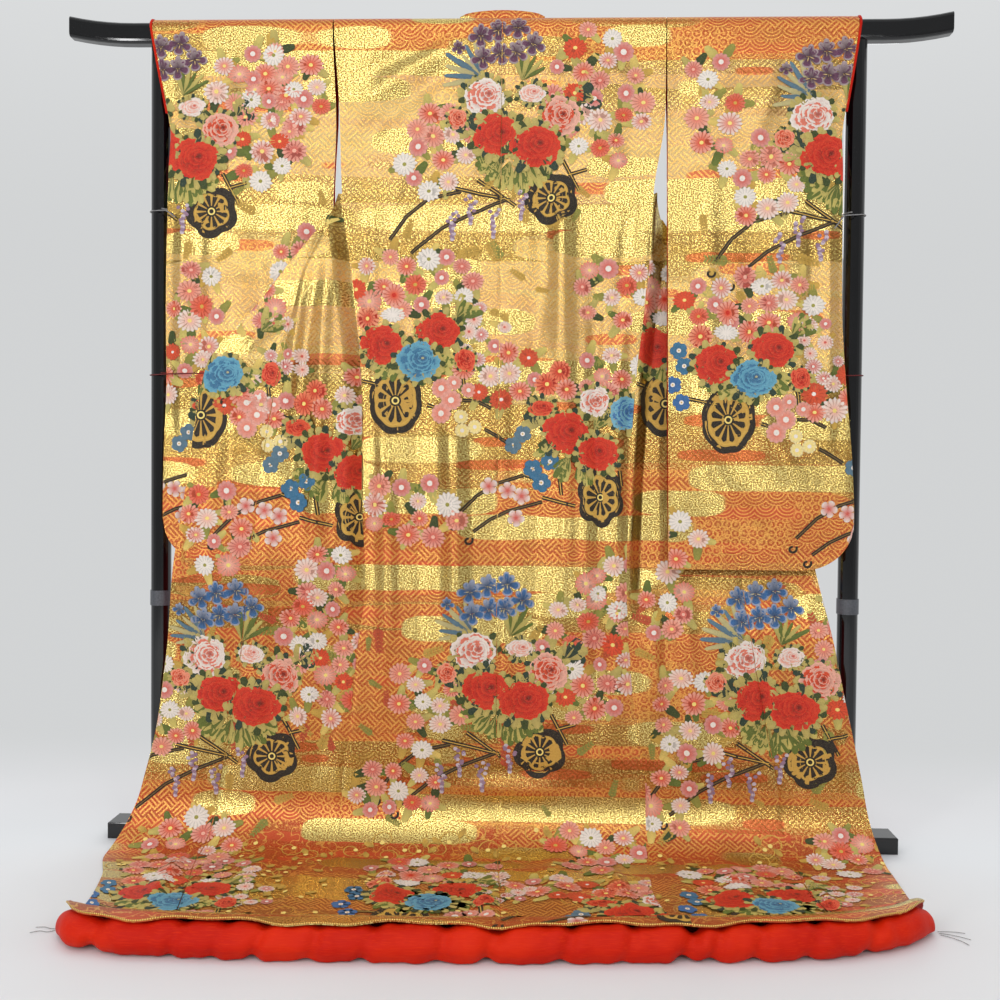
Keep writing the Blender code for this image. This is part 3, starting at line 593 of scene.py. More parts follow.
def sheet_grid(sheet):
    """Cloth lengths (x, down) of a grid over a sheet, its rows closer together where the cloth bends."""
    middle = float(sheet.left(np.array(0.6)) + sheet.right(np.array(0.6))) / 2
    low = float(np.max(sheet.end(np.array([middle]))))
    bends = np.linspace(0, SHOULDER_ARC, 9)[1:]
    downs = np.concatenate([[sheet.start], bends[bends > sheet.start + 0.003],
                            np.arange(max(sheet.start, SHOULDER_ARC) + ROW_STEP, low - 0.002, ROW_STEP),
                            [low]])
    widest = float(np.max(np.abs(sheet.right(downs) - sheet.left(downs))))
    shares = np.linspace(0, 1, int(widest / COLUMN_STEP) + 2)
    down, share = np.meshgrid(downs, shares, indexing="ij")
    x = mix(sheet.left(down), sheet.right(down), share)
    ends = sheet.end(x)
    last = np.clip((down - (low - 0.16)) / 0.16, 0, 1)
    down = down + (ends - low) * last
    return mix(sheet.left(down), sheet.right(down), share), down


def cloth_wall(sheet, outside, inside):
    x, down = sheet_grid(sheet)
    high, wide = x.shape
    outer = sheet.points(x.ravel(), down.ravel())
    inner = sheet.points(x.ravel(), down.ravel(), -WALL)
    at = np.arange(high * wide).reshape(high, wide)
    quads = np.stack([at[:-1, :-1], at[1:, :-1], at[1:, 1:], at[:-1, 1:]], -1).reshape(-1, 4)
    rim = np.concatenate([at[:, 0], at[-1, 1:], at[::-1, -1][1:], at[0, ::-1][1:-1]])
    after = np.roll(rim, -1)
    count = high * wide
    sides = np.stack([rim, rim + count, after + count, after], -1)
    turned = quads[:, ::-1] + count
    faces = np.concatenate([quads, turned, sides])
    if not sheet.faces_back:
        faces = faces[:, ::-1]
    slots = np.concatenate([np.zeros(len(quads)), np.ones(len(turned)), np.zeros(len(sides))]).astype(int)
    obj = mesh_object(f"{sheet.name}_cloth", np.concatenate([outer, inner]), faces, [outside, inside],
                      slots.tolist())
    lengths = np.stack([x.ravel(), down.ravel()], -1)
    lengths = np.concatenate([lengths, lengths])
    layer = obj.data.uv_layers.new(name="cloth")
    corners = np.empty(len(obj.data.loops), np.int32)
    obj.data.loops.foreach_get("vertex_index", corners)
    layer.data.foreach_set("uv", lengths[corners].ravel())
    obj.data.set_sharp_from_angle(angle=math.radians(50))
    return obj


# ---------------------------------------------------------------- shader tools

class Socket:
    """A shader socket that takes part in sums: each operator adds the node that it needs."""

    def __init__(self, socket):
        self.socket = socket
        self.tree = socket.id_data

    def add(self, kind, inputs, out=0, **settings):
        """Any other node: its type, its settings, which are set first, and its inputs."""
        return Socket(new_node(self.tree, kind, inputs, **settings).outputs[out])

    def sum(self, operation, *others):
        return self.add("ShaderNodeMath", [self, *others], operation=operation)

    def __add__(self, other):
        return self.sum("ADD", other)

    def __radd__(self, other):
        return self.sum("ADD", other)

    def __sub__(self, other):
        return self.sum("SUBTRACT", other)

    def __rsub__(self, other):
        return self.add("ShaderNodeMath", [other, self], operation="SUBTRACT")

    def __mul__(self, other):
        return self.sum("MULTIPLY", other)

    def __rmul__(self, other):
        return self.sum("MULTIPLY", other)

    def __truediv__(self, other):
        return self.sum("DIVIDE", other)

    def __pow__(self, other):
        return self.sum("POWER", other)

    def __gt__(self, other):
        return self.sum("GREATER_THAN", other)

    def __lt__(self, other):
        return self.sum("LESS_THAN", other)


def link(tree, node, key, value):
    target = node.inputs[key]
    if isinstance(value, Socket):
        tree.links.new(value.socket, target)
    elif isinstance(value, tuple) and len(value) == 3 and target.type == "RGBA":
        target.default_value = (*value, 1)
    else:
        target.default_value = value


def new_node(tree, kind, inputs, stops=None, **settings):
    node = tree.nodes.new(kind)
    for name, value in settings.items():
        setattr(node, name, value)
    if stops:
        ramp = node.color_ramp
        while len(ramp.elements) < len(stops):
            ramp.elements.new(1.0)
        for element, (place, colour) in zip(ramp.elements, stops):
            element.position = place
            element.color = (*colour, 1) if isinstance(colour, tuple) else (colour, colour, colour, 1)
    pairs = inputs.items() if isinstance(inputs, dict) else enumerate(inputs)
    for key, value in pairs:
        link(tree, node, key, value)
    return node


def sine(value):
    return value.sum("SINE")


def between(value, low, high):
    """0 below low, 1 above high, smooth between them."""
    return value.add("ShaderNodeMapRange", [value, low, high, 0.0, 1.0], interpolation_type="SMOOTHSTEP")


def near(value, target, width):
    """1 where the value is at its target, 0 where it is a width away."""
    return 1 - between((value - target).sum("ABSOLUTE"), width * 0.5, width)


def blend(mask, a, b):
    """Colour a where the mask is 0 and colour b where it is 1."""
    start = mask if isinstance(mask, Socket) else (a if isinstance(a, Socket) else b)
    return start.add("ShaderNodeMix", {0: mask, 6: a, 7: b}, out=2, data_type="RGBA")


def position(x, y, z=0.0):
    first = x if isinstance(x, Socket) else y
    return first.add("ShaderNodeCombineXYZ", [x, y, z])


def noise(place, scale, detail=2.0, rough=0.5):
    return place.add("ShaderNodeTexNoise", {"Vector": place, "Scale": scale, "Detail": detail,
                                            "Roughness": rough})


def bump(height, strength, distance):
    return height.add("ShaderNodeBump", {"Strength": strength, "Distance": distance, "Height": height})


def finish_of(name):
    """A new material, its shader node and its tree."""
    made = bpy.data.materials.new(name)
    made.use_nodes = True
    tree = made.node_tree
    return made, tree.nodes["Principled BSDF"], tree


def texture_place(tree, kind="Object"):
    node = tree.nodes.new("ShaderNodeTexCoord")
    return Socket(node.outputs[kind])


def cloth_lengths(tree):
    """Place across and down the cloth, in metres."""
    node = tree.nodes.new("ShaderNodeUVMap")
    node.uv_map = "cloth"
    place = Socket(node.outputs[0])
    return place, place.add("ShaderNodeSeparateXYZ", [place], out=0), \
        place.add("ShaderNodeSeparateXYZ", [place], out=1)


def rgb(red, green, blue):
    """A colour given in everyday display values, 0 to 255, as the shader's linear values."""
    return tuple(((c / 255) / 12.92 if c <= 10 else ((c / 255 + 0.055) / 1.055) ** 2.4)
                 for c in (red, green, blue))


ORANGE = rgb(186, 60, 10)
BEIGE = rgb(204, 172, 116)
PINK_BEIGE = rgb(206, 150, 112)
CORAL = rgb(200, 78, 44)
RED_ORANGE = rgb(184, 38, 5)
RUST = rgb(150, 58, 12)
BROWN_GOLD = rgb(134, 86, 24)


# ---------------------------------------------------------------- materials

def mist(u, v, height, length, seed, low, soft=0.010):
    """Level drifts of mist: bands of one height whose ends are rounded."""
    row = v / height
    across = row.sum("FRACT") * 2.0 - 1.0
    run = noise(position(u / length, row.sum("FLOOR") * 7.31, seed), 1.0, 1.0, 0.4)
    edge = across * across * across * across * 0.045
    return between(run - edge, low, low + soft)


def key_blocks(u, v):
    """Blocks of slanting key-fret lines that turn at each block."""
    a, b = (u + v) * 32.0, (u - v) * 32.0
    turned = ((a.sum("FLOOR") + b.sum("FLOOR")) * 0.5).sum("FRACT") > 0.25
    lines_a, lines_b = between(sine(a * 18.85), -0.1, 0.5), between(sine(b * 18.85), -0.1, 0.5)
    return lines_a * turned + lines_b * (1 - turned)


def running_water(u, v):
    """Overlapping scales of fine ripples, row over row."""
    row = v * 44.0
    a = (u * 26.0 + row.sum("FLOOR") * 0.5).sum("FRACT") - 0.5
    b = row.sum("FRACT") * 0.58 + 0.1
    return between(sine((a * a + b * b).sum("SQRT") * 40.0), 0.1, 0.6)


def linked_rings(u, v):
    """Interlocked rings with a small flower in each."""
    a, b = (u * 62.0).sum("FRACT") - 0.5, (v * 62.0).sum("FRACT") - 0.5
    radius = (a * a + b * b).sum("SQRT")
    return near(radius, 0.48, 0.10).sum("MAXIMUM", near(radius, 0.06, 0.16) * 0.8)


def scrolling_vine(u, v):
    """Thin gold scrolls with small buds."""
    swirl = noise(position(u * 38.0, v * 38.0, 9.0), 1.0, 1.0, 0.3)
    buds = noise(position(u * 120.0, v * 120.0, 4.0), 1.0, 0.0)
    return near(swirl, 0.50, 0.022).sum("MAXIMUM", between(buds, 0.68, 0.72))


def brocade_finish(name="gold_brocade_weave", on_cloth=True):
    """Gold-thread brocade: level drifts of mist in different ground weaves, each with its own gold figure."""
    made, shader, tree = finish_of(name)
    if on_cloth:
        place, u, v = cloth_lengths(tree)
    else:
        place = texture_place(tree)
        u = place.add("ShaderNodeSeparateXYZ", [place], out=0)
        v = place.add("ShaderNodeSeparateXYZ", [place], out=2) - 1.500
    broad = mist(u, v, 0.052, 0.75, 3.0, 0.50)
    stepped = (v / 0.013).sum("FLOOR") * 0.013
    at = (stepped + (broad - 0.5) * 0.070 + noise(position(u * 1.4, v * 2.0), 1.0) * 0.05 - 0.01) / 2.1
    ground = at.add("ShaderNodeValToRGB", [at], stops=[
        (0.000, RED_ORANGE), (0.004, ORANGE), (0.035, ORANGE), (0.045, BROWN_GOLD), (0.080, PINK_BEIGE),
        (0.105, BEIGE), (0.160, PINK_BEIGE), (0.200, BROWN_GOLD), (0.235, BEIGE), (0.280, PINK_BEIGE),
        (0.330, BEIGE), (0.360, BROWN_GOLD), (0.415, ORANGE), (0.500, RED_ORANGE), (0.520, BROWN_GOLD),
        (0.545, RED_ORANGE), (0.630, ORANGE), (0.655, RUST), (0.700, ORANGE), (0.720, RED_ORANGE),
        (0.860, RUST), (1.000, RED_ORANGE)])
    gilt = at.add("ShaderNodeValToRGB", [at], stops=[
        (0.000, 0.05), (0.030, 0.15), (0.040, 0.95), (0.075, 0.90), (0.085, 0.15), (0.150, 0.25),
        (0.160, 0.90), (0.215, 0.95), (0.230, 0.30), (0.330, 0.35), (0.345, 0.95), (0.415, 0.90),
        (0.428, 0.08), (0.505, 0.10), (0.515, 0.85), (0.540, 0.08), (0.640, 0.10), (0.652, 0.85),
        (0.695, 0.80), (0.708, 0.05), (1.000, 0.05)])
    foil = mist(u, v + 0.010, 0.047, 0.42, 7.0, 0.545)
    coral = mist(u, v + 0.011, 0.021, 0.30, 19.0, 0.580) * between(v, 0.05, 0.10) * (1 - foil)

    glint = noise(position(u * 360.0, v * 500.0), 1.0, 1.5, 0.75)
    glitter = between(glint, 0.42, 0.60)
    worn = noise(position(u * 22.0, v * 46.0, 2.0), 1.0, 3.0, 0.6)
    # Where the glint noise is high the gold's colour is painted pale: painted glints.
    gold = blend(glitter, rgb(124, 88, 30), rgb(252, 228, 136))
    gold = blend(between(worn, 0.40, 0.70) * 0.5, gold, rgb(214, 172, 86))
    gilding = (0.14 + gilt * 0.86) * (0.40 + glitter * 0.75 + between(worn, 0.4, 0.7) * 0.2)
    gilding = gilding.sum("MINIMUM", 1.0)
    chosen = noise(position(u * 2.2, (v / 0.052).sum("FLOOR") * 0.31, 5.0), 1.0, 0.0)
    fret = between(chosen, 0.50, 0.505)
    rings = 1 - between(chosen, 0.400, 0.405)
    vine = between(v, 1.500, 1.505) * (1 - fret)
    figure = key_blocks(u, v) * fret
    figure = figure + running_water(u, v) * (1 - fret) * (1 - rings) * (1 - vine)
    figure = figure.sum("MAXIMUM", linked_rings(u, v) * rings * (1 - vine))
    figure = figure.sum("MAXIMUM", scrolling_vine(u, v) * (rings.sum("MAXIMUM", vine)))
    figure = figure * (1 - foil) * (0.55 + glitter * 0.55)

    silk = blend(between(worn, 0.35, 0.75) * 0.4, ground, blend(0.6, ground, rgb(60, 22, 6)))
    colour = blend(coral * 0.85, silk, CORAL)
    colour = blend(gilding * (1 - coral * 0.7), colour, gold)
    dark_figure = between(gilt, 0.3, 0.5)
    colour = blend(figure * (1 - dark_figure) * 0.72, colour, rgb(240, 188, 96))
    colour = blend(figure * dark_figure * 0.55, colour, rgb(122, 78, 26))
    # The foil's colour is painted pale at the same glints: painted glints.
    colour = blend(foil, colour, blend(glitter, rgb(146, 102, 36), rgb(255, 236, 150)))
    metal = (gilding * 0.80 + figure * 0.4 + foil * 0.7 + 0.20).sum("MINIMUM", 0.96)

    weave = sine(u * 5200.0) * sine(v * 4300.0)
    height = weave * 0.2 + glint * 1.0 + figure * 0.5 + foil * 0.4
    link(tree, shader, "Base Color", colour)
    link(tree, shader, "Metallic", metal)
    link(tree, shader, "Roughness", 0.48 - metal * 0.19 - glitter * metal * 0.05)
    link(tree, shader, "Normal", bump(height, 0.26, 0.0008))
    link(tree, shader, "Specular IOR Level", 0.35)
    return made


def motif_finish():
    """Figure threads of the flowers and carts: satin floats, coloured piece by piece."""
    made, shader, tree = finish_of("figure_thread_weave")
    node = tree.nodes.new("ShaderNodeAttribute")
    node.attribute_name = "thread_colour"
    thread = Socket(node.outputs["Color"])
    place = texture_place(tree)
    grain = noise(place, 700.0, 2.0, 0.7)
    colour = blend(between(grain, 0.35, 0.75) * 0.3, thread, blend(0.25, thread, rgb(255, 226, 170)))
    colour = blend(between(grain, 0.46, 0.34) * 0.45, colour, blend(0.6, colour, rgb(60, 20, 6)))
    floats = sine(place.add("ShaderNodeSeparateXYZ", [place], out=2) * 4200.0)
    link(tree, shader, "Base Color", colour)
    link(tree, shader, "Roughness", 0.5 + grain * 0.15)
    link(tree, shader, "Normal", bump(grain + floats * 0.2, 0.6, 0.0007))
    link(tree, shader, "Specular IOR Level", 0.3)
    return made


def red_silk_finish(name="vermilion_silk_satin", depth=1.0):
    """Plain vermilion silk: fine cross grain, slubs, and broad patches of a slightly different tone."""
    made, shader, tree = finish_of(name)
    place = texture_place(tree)
    x = place.add("ShaderNodeSeparateXYZ", [place], out=0)
    z = place.add("ShaderNodeSeparateXYZ", [place], out=2)
    slub = noise(place.add("ShaderNodeMapping", {"Vector": place, "Scale": (40.0, 260.0, 900.0)}), 1.0, 2.0)
    patch = noise(place, 9.0, 2.0)
    colour = blend(between(patch, 0.3, 0.7), rgb(182, 20, 2), rgb(202, 34, 3))
    colour = blend(between(slub, 0.45, 0.75) * 0.4, colour, rgb(212, 52, 10))
    # A depth below 1 paints the silk darker, towards a deep red: painted shade, used for the lining on the
    # garment's inside.
    colour = blend(1 - depth, colour, rgb(90, 8, 4))
    weave = sine(x * 3600.0) * 0.5 + sine(z * 4200.0) * 0.5
    link(tree, shader, "Base Color", colour)
    link(tree, shader, "Roughness", 0.46 + slub * 0.2)
    link(tree, shader, "Normal", bump(weave * 0.4 + slub, 0.4, 0.0005))
    link(tree, shader, "Specular IOR Level", 0.12)
    return made


def lacquer_finish():
    """Black lacquer over wood: deep gloss with a faint ripple and a few specks of dust."""
    made, shader, tree = finish_of("black_gloss_lacquer")
    place = texture_place(tree)
    ripple = noise(place, 11.0, 2.0)
    dust = noise(place, 260.0, 3.0, 0.65)
    colour = blend(between(dust, 0.62, 0.85) * 0.3, rgb(4, 4, 6), rgb(24, 25, 30))
    link(tree, shader, "Base Color", colour)
    link(tree, shader, "Roughness", 0.09 + between(dust, 0.55, 0.8) * 0.14)
    link(tree, shader, "Normal", bump(ripple, 0.10, 0.002))
    link(tree, shader, "Coat Weight", 0.35 + ripple * 0.2)
    link(tree, shader, "Coat Roughness", 0.05)
    link(tree, shader, "Specular IOR Level", 0.35)
    return made


def joint_finish():
    made, shader, tree = finish_of("joint_sleeve_satin")
    place = texture_place(tree)
    grain = noise(place, 320.0, 2.0)
    link(tree, shader, "Base Color", blend(grain, rgb(46, 47, 52), rgb(92, 94, 100)))
    link(tree, shader, "Roughness", 0.28 + grain * 0.2)
    link(tree, shader, "Normal", bump(grain, 0.2, 0.0004))
    return made


def cord_finish(name, dark, light):
    made, shader, tree = finish_of(name)
    place = texture_place(tree)
    x = place.add("ShaderNodeSeparateXYZ", [place], out=0)
    z = place.add("ShaderNodeSeparateXYZ", [place], out=2)
    ply = sine((x + z) * 2600.0)
    fuzz = noise(place, 1500.0, 2.0)
    # The cord is painted dark in the grooves of its twist, where the bump is low: painted shade in the
    # grooves.
    link(tree, shader, "Base Color", blend(between(ply, -0.6, 0.8), dark, light))
    link(tree, shader, "Roughness", 0.7 + fuzz * 0.2)
    link(tree, shader, "Normal", bump(ply + fuzz, 0.5, 0.0003))
    return made


def gold_cord_finish():
    made, shader, tree = finish_of("gold_edge_piping")
    place = texture_place(tree)
    x = place.add("ShaderNodeSeparateXYZ", [place], out=0)
    ply = sine(x * 1900.0)
    # The piping is painted dark in the grooves of its twist, where the bump is low: painted shade in the
    # grooves.
    link(tree, shader, "Base Color", blend(between(ply, -0.5, 0.8), rgb(150, 96, 28), rgb(246, 214, 120)))
    link(tree, shader, "Metallic", 0.6 + ply * 0.1)
    link(tree, shader, "Roughness", 0.36 + ply * 0.08)
    link(tree, shader, "Normal", bump(ply, 0.5, 0.0004))
    return made


FINISH = {
    "brocade": brocade_finish(),
    "collar": brocade_finish("collar_brocade_weave", False),
    "figure": motif_finish(),
    "red_silk": red_silk_finish(),
    # The lining is the same red silk painted darker: painted shade.
    "red_lining": red_silk_finish("vermilion_lining_painted_shade", 0.75),
    "lacquer": lacquer_finish(),
    "joint": joint_finish(),
    "grey_cord": cord_finish("grey_cord_ply", rgb(84, 84, 88), rgb(170, 168, 166)),
    "red_cord": cord_finish("dark_red_cord_ply", rgb(56, 8, 10), rgb(128, 26, 26)),
    "gold_cord": gold_cord_finish(),
}


# ---------------------------------------------------------------- woven figures

WHITE = rgb(232, 222, 212)
PALE_PINK = rgb(232, 172, 152)
PINK = rgb(222, 118, 96)
ROSE = rgb(204, 84, 74)
CORAL_RED = rgb(216, 68, 34)
RED = rgb(200, 20, 5)
DARK_RED = rgb(118, 6, 2)
RED_EDGE = rgb(212, 44, 18)
SKY = rgb(44, 112, 150)
DEEP_BLUE = rgb(28, 78, 120)
GREY_BLUE = rgb(84, 120, 140)
IRIS_PURPLE = rgb(104, 54, 92)
IRIS_BLUE = rgb(40, 104, 164)
WISTERIA = rgb(142, 112, 136)
LEAF = rgb(96, 112, 40)
OLIVE = rgb(150, 146, 62)
TEAL = rgb(12, 54, 44)
DARK_LEAF = rgb(44, 66, 22)
STRAW = rgb(240, 214, 120)
INK = rgb(5, 4, 10)
OLD_GOLD = rgb(206, 164, 70)

FIGURE_LIFT = 0.00090
LAYER_LIFT = 0.00012
HAIR = 0.00042
REFINE_ROUNDS = 2


class Drawing:
    """Flat pieces of figure on a sheet, as triangles in cloth lengths with a colour at each corner."""

    def __init__(self, sheets, seed=0):
        self.sheets = sheets
        self.points, self.colours, self.layers, self.triangles = [], [], [], []
        self.chance = random.Random(seed)
        self.layer = 0

    def patch(self, points, triangles, colours):
        start = len(self.points)
        self.points += points
        self.colours += colours
        self.layers += [self.layer] * len(points)
        self.triangles += [(start + a, start + b, start + c) for a, b, c in triangles]

    def next_layer(self):
        self.layer += 1

    def strip(self, rows, colour_rows):
        """Rows of the same count of points, joined one to the next."""
        wide = len(rows[0])
        triangles = []
        for i in range(len(rows) - 1):
            for j in range(wide - 1):
                a, b = i * wide + j, (i + 1) * wide + j
                triangles += [(a, b, b + 1), (a, b + 1, a + 1)]
        self.patch([p for row in rows for p in row], triangles, [c for row in colour_rows for c in row])

    def disc(self, x, v, wide, high, colour, edge=None, turn=0.0, sides=14, waver=0.0):
        ring = []
        for k in range(sides):
            angle = 2 * math.pi * k / sides
            size = 1 + waver * math.sin(3 * angle + x * 90)
            a, b = wide * size * math.cos(angle), high * size * math.sin(angle)
            ring.append((x + a * math.cos(turn) - b * math.sin(turn),
                         v + a * math.sin(turn) + b * math.cos(turn)))
        half = [((x + px) / 2, (v + pv) / 2) for px, pv in ring]
        triangles = []
        for k in range(sides):
            after = (k + 1) % sides
            triangles.append((0, 1 + k, 1 + after))
            triangles += [(1 + k, 1 + sides + k, 1 + sides + after), (1 + k, 1 + sides + after, 1 + after)]
        tone = edge or colour
        self.patch([(x, v), *half, *ring], triangles, [colour] * (1 + sides) + [tone] * sides)

    def petal(self, x, v, angle, inner, outer, wide, root, tip, fullness=0.72, flat=1.0):
        """A petal from a flower's middle outwards, widest at fullness of its length."""
        along = (math.cos(angle), math.sin(angle) * flat)
        across = (-math.sin(angle), math.cos(angle) * flat)
        rows, tones = [], []
        for share, width in ((0.0, 0.30), (fullness, 1.0), (0.93, 0.62)):
            reach = mix(inner, outer, share)
            middle = (x + along[0] * reach, v + along[1] * reach)
            rows.append([(middle[0] + across[0] * wide * width * s, middle[1] + across[1] * wide * width * s)
                         for s in (-1, 0, 1)])
            tone = tuple(mix(a, b, share) for a, b in zip(root, tip))
            # The petal's two sides are painted darker than its middle, more so towards the tip: painted shade
            # that rounds the flat petal.
            side = tuple(c * (1.0 - 0.16 * share) for c in tone)
            tones.append([side, tone, side])
        end = (x + along[0] * outer, v + along[1] * outer)
        rows.append([end] * 3)
        tones.append([tip] * 3)
        self.strip(rows, tones)

    def stroke(self, route, widths, colour):
        """A line of changing width, in short lengths so that it follows the cloth."""
        fine, sizes = [], []
        for (a, b), (wa, wb) in zip(zip(route, route[1:]), zip(widths, widths[1:])):
            steps = max(1, int(math.dist(a, b) / 0.006))
            for k in range(steps):
                fine.append((mix(a[0], b[0], k / steps), mix(a[1], b[1], k / steps)))
                sizes.append(mix(wa, wb, k / steps))
        fine.append(route[-1])
        sizes.append(widths[-1])
        rows = []
        for k, (px, pv) in enumerate(fine):
            before, after = fine[max(k - 1, 0)], fine[min(k + 1, len(fine) - 1)]
            length = math.dist(before, after) or 1.0
            ax, av = -(after[1] - before[1]) / length, (after[0] - before[0]) / length
            rows.append([(px + ax * sizes[k] / 2, pv + av * sizes[k] / 2),
                         (px - ax * sizes[k] / 2, pv - av * sizes[k] / 2)])
        self.strip(rows, [[colour, colour]] * len(rows))

    @staticmethod
    def split_bent(sheet, table, triangles):
        """Splits in four each triangle whose edges leave the folded cloth by more than a hair."""
        settled = []
        for _ in range(REFINE_ROUNDS):
            edges = np.sort(np.stack([triangles, np.roll(triangles, -1, axis=1)], -1).reshape(-1, 2), axis=1)
            edges, used = np.unique(edges, axis=0, return_inverse=True)
            used = used.reshape(-1, 3)
            middles = (table[edges[:, 0]] + table[edges[:, 1]]) / 2
            corners, back = np.unique(edges, return_inverse=True)
            ends = sheet.on_face(table[corners, 0], table[corners, 1])[back.reshape(-1, 2)]
            off = np.linalg.norm(ends.mean(axis=1) - sheet.on_face(middles[:, 0], middles[:, 1]), axis=1)
            bent = (off > HAIR)[used].any(axis=1)
            settled.append(triangles[~bent])
            if not bent.any():
                break
            m = len(table) + used[bent]
            table = np.concatenate([table, middles])
            a, b, c = triangles[bent].T
            triangles = np.concatenate([np.stack(t, 1) for t in (
                (a, m[:, 0], m[:, 2]), (m[:, 0], b, m[:, 1]), (m[:, 2], m[:, 1], c),
                (m[:, 0], m[:, 1], m[:, 2]))])
        else:
            settled.append(triangles)
        return table, np.concatenate(settled)

    def mesh(self, sheet):
        """The part of the drawing that lies on one sheet, cut off along its edges."""
        points = np.array(self.points)
        down = np.clip(points[:, 1], sheet.start + 0.001, None)
        ends = sheet.end(points[:, 0]) - 0.0015
        left, right = sheet.left(down) + 0.0008, sheet.right(down) - 0.0008
        outside = (points[:, 0] < left) | (points[:, 0] > right) | (points[:, 1] > ends)
        outside |= points[:, 1] < sheet.start
        triangles = np.array(self.triangles)
        triangles = triangles[~outside[triangles].all(axis=1)]
        down = np.minimum(down, ends)
        x = np.clip(points[:, 0], left, right)
        table = np.column_stack([x, down, np.array(self.layers, float), np.array(self.colours)])
        table, triangles = self.split_bent(sheet, table, triangles)
        used, triangles = np.unique(triangles, return_inverse=True)
        triangles = triangles.reshape(-1, 3)
        x, down = table[used, 0], table[used, 1]
        lift = FIGURE_LIFT + LAYER_LIFT * table[used, 2]
        places = sheet.points(x, down, lift)
        a, b, c = (places[triangles[:, k]] for k in range(3))
        normal = np.cross(b - a, c - a)
        out = places - sheet.points(x, down)
        facing = (normal * out[triangles[:, 0]]).sum(1)
        triangles = np.where(facing[:, None] < 0, triangles[:, ::-1], triangles)
        triangles = triangles[np.linalg.norm(normal, axis=1) > 2e-9]
        if not len(triangles):
            return None
        obj = mesh_object(f"figures_{sheet.name}", places, triangles.tolist(), [FINISH["figure"]])
        layer = obj.data.color_attributes.new("thread_colour", "FLOAT_COLOR", "POINT")
        tones = np.ones((len(used), 4))
        tones[:, :3] = table[used, 3:]
        layer.data.foreach_set("color", tones.ravel())
        return obj


def kiku(art, x, v, size, tint, heart=STRAW, rim=WHITE, petals=15, flat=1.0):
    """A round chrysanthemum of narrow petals."""
    art.disc(x, v, size * 0.86, size * 0.86 * flat, tuple(c * 0.55 for c in tint),
             tuple(c * 0.8 for c in tint))
    art.next_layer()
    turn = art.chance.random()
    for k in range(petals):
        angle = turn + 2 * math.pi * k / petals
        reach = size * art.chance.uniform(0.92, 1.06)
        art.petal(x, v, angle, size * 0.14, reach, size * 2.05 / petals, tint, rim, 0.80,
                  flat)
    art.next_layer()
    art.disc(x, v, size * 0.17, size * 0.17 * flat, heart, sides=8)
    art.layer -= 2


def aster(art, x, v, size, tint, heart=WHITE):
    """A small flower of few petals."""
    turn = art.chance.random()
    for k in range(11):
        art.petal(x, v, turn + 2 * math.pi * k / 11, size * 0.2, size, size * 0.27, tint,
                  tuple(mix(c, w, 0.35) for c, w in zip(tint, WHITE)), 0.7)
    art.next_layer()
    art.disc(x, v, size * 0.3, size * 0.3, heart, sides=8)
    art.layer -= 1


def ruffle(art, x, v, angle, reach, half_angle, root, tip, flat):
    """A broad peony petal with a notched, rolled edge."""
    rows, tones = [], []
    steps = 6
    for share in (0.25, 0.7, 0.9, 1.0):
        row, tone_row = [], []
        for k in range(steps + 1):
            side = 2 * k / steps - 1
            notch = 1 - 0.10 * side ** 2 - (0.055 if k % 2 else 0.0) * (share > 0.8)
            turn = angle + side * half_angle * (0.5 + 0.5 * share)
            size = reach * share * notch
            row.append((x + size * math.cos(turn), v + size * math.sin(turn) * flat))
            lit = (share - 0.25) / 0.75 if share < 0.95 else 1.25
            tone_row.append(tuple(min(1.0, mix(a, b, min(lit, 1.0))) for a, b in zip(root, tip)))
        rows.append(row)
        tones.append(tone_row)
    art.strip(rows, tones)


def peony(art, x, v, size, tint, shade, edge, flat=0.92, heart=None):
    """A full peony: crowded ruffled petals that turn about a small closed heart, over dark leaves."""
    start = art.layer
    for k in range(9):
        angle = 2 * math.pi * (k + art.chance.uniform(-0.3, 0.3)) / 9
        leaf_fan(art, x + size * 0.55 * math.cos(angle), v + size * 0.5 * math.sin(angle) * flat, angle, 0.9,
                 size * 0.72, 3, TEAL if k % 2 else DARK_LEAF, 0.24)
    art.next_layer()
    for ring, (reach, count) in enumerate(((1.0, 8), (0.80, 8), (0.60, 6), (0.42, 5), (0.24, 4))):
        turn = art.chance.random() * 3
        heart_x, heart_v = x + size * 0.05 * ring, v - size * 0.03 * ring
        for k in range(count):
            angle = turn + 2 * math.pi * (k + art.chance.uniform(-0.18, 0.18)) / count
            grown = size * reach * art.chance.uniform(0.84, 1.10)
            ruffle(art, heart_x, heart_v, angle, grown, math.pi / count * 1.15, shade, edge, flat)
        art.next_layer()
        for k in range(count):
            angle = turn + 2 * math.pi * (k + 0.4 * (ring % 2)) / count
            grown = size * reach * art.chance.uniform(0.74, 0.90)
            ruffle(art, heart_x, heart_v, angle, grown, math.pi / count * art.chance.uniform(0.7, 1.0), shade,
                   tint,
                   flat)
        art.next_layer()
    art.disc(x + size * 0.2, v - size * 0.12, size * 0.06, size * 0.06 * flat, heart or shade, sides=8)
    art.layer = start


def leaf(art, x, v, angle, length, tint, wide=0.30):
    art.petal(x, v, angle, 0.0, length, length * wide, tuple(c * 0.6 for c in tint), tint, 0.5)


def leaf_fan(art, x, v, angle, spread, length, count, tint, wide=0.16):
    for k in range(count):
        turn = angle + spread * (k / max(count - 1, 1) - 0.5)
        tone = tint if k % 2 else tuple(mix(c, g, 0.6) for c, g in zip(tint, STRAW))
        leaf(art, x, v, turn, length * art.chance.uniform(0.75, 1.1), tone, wide)


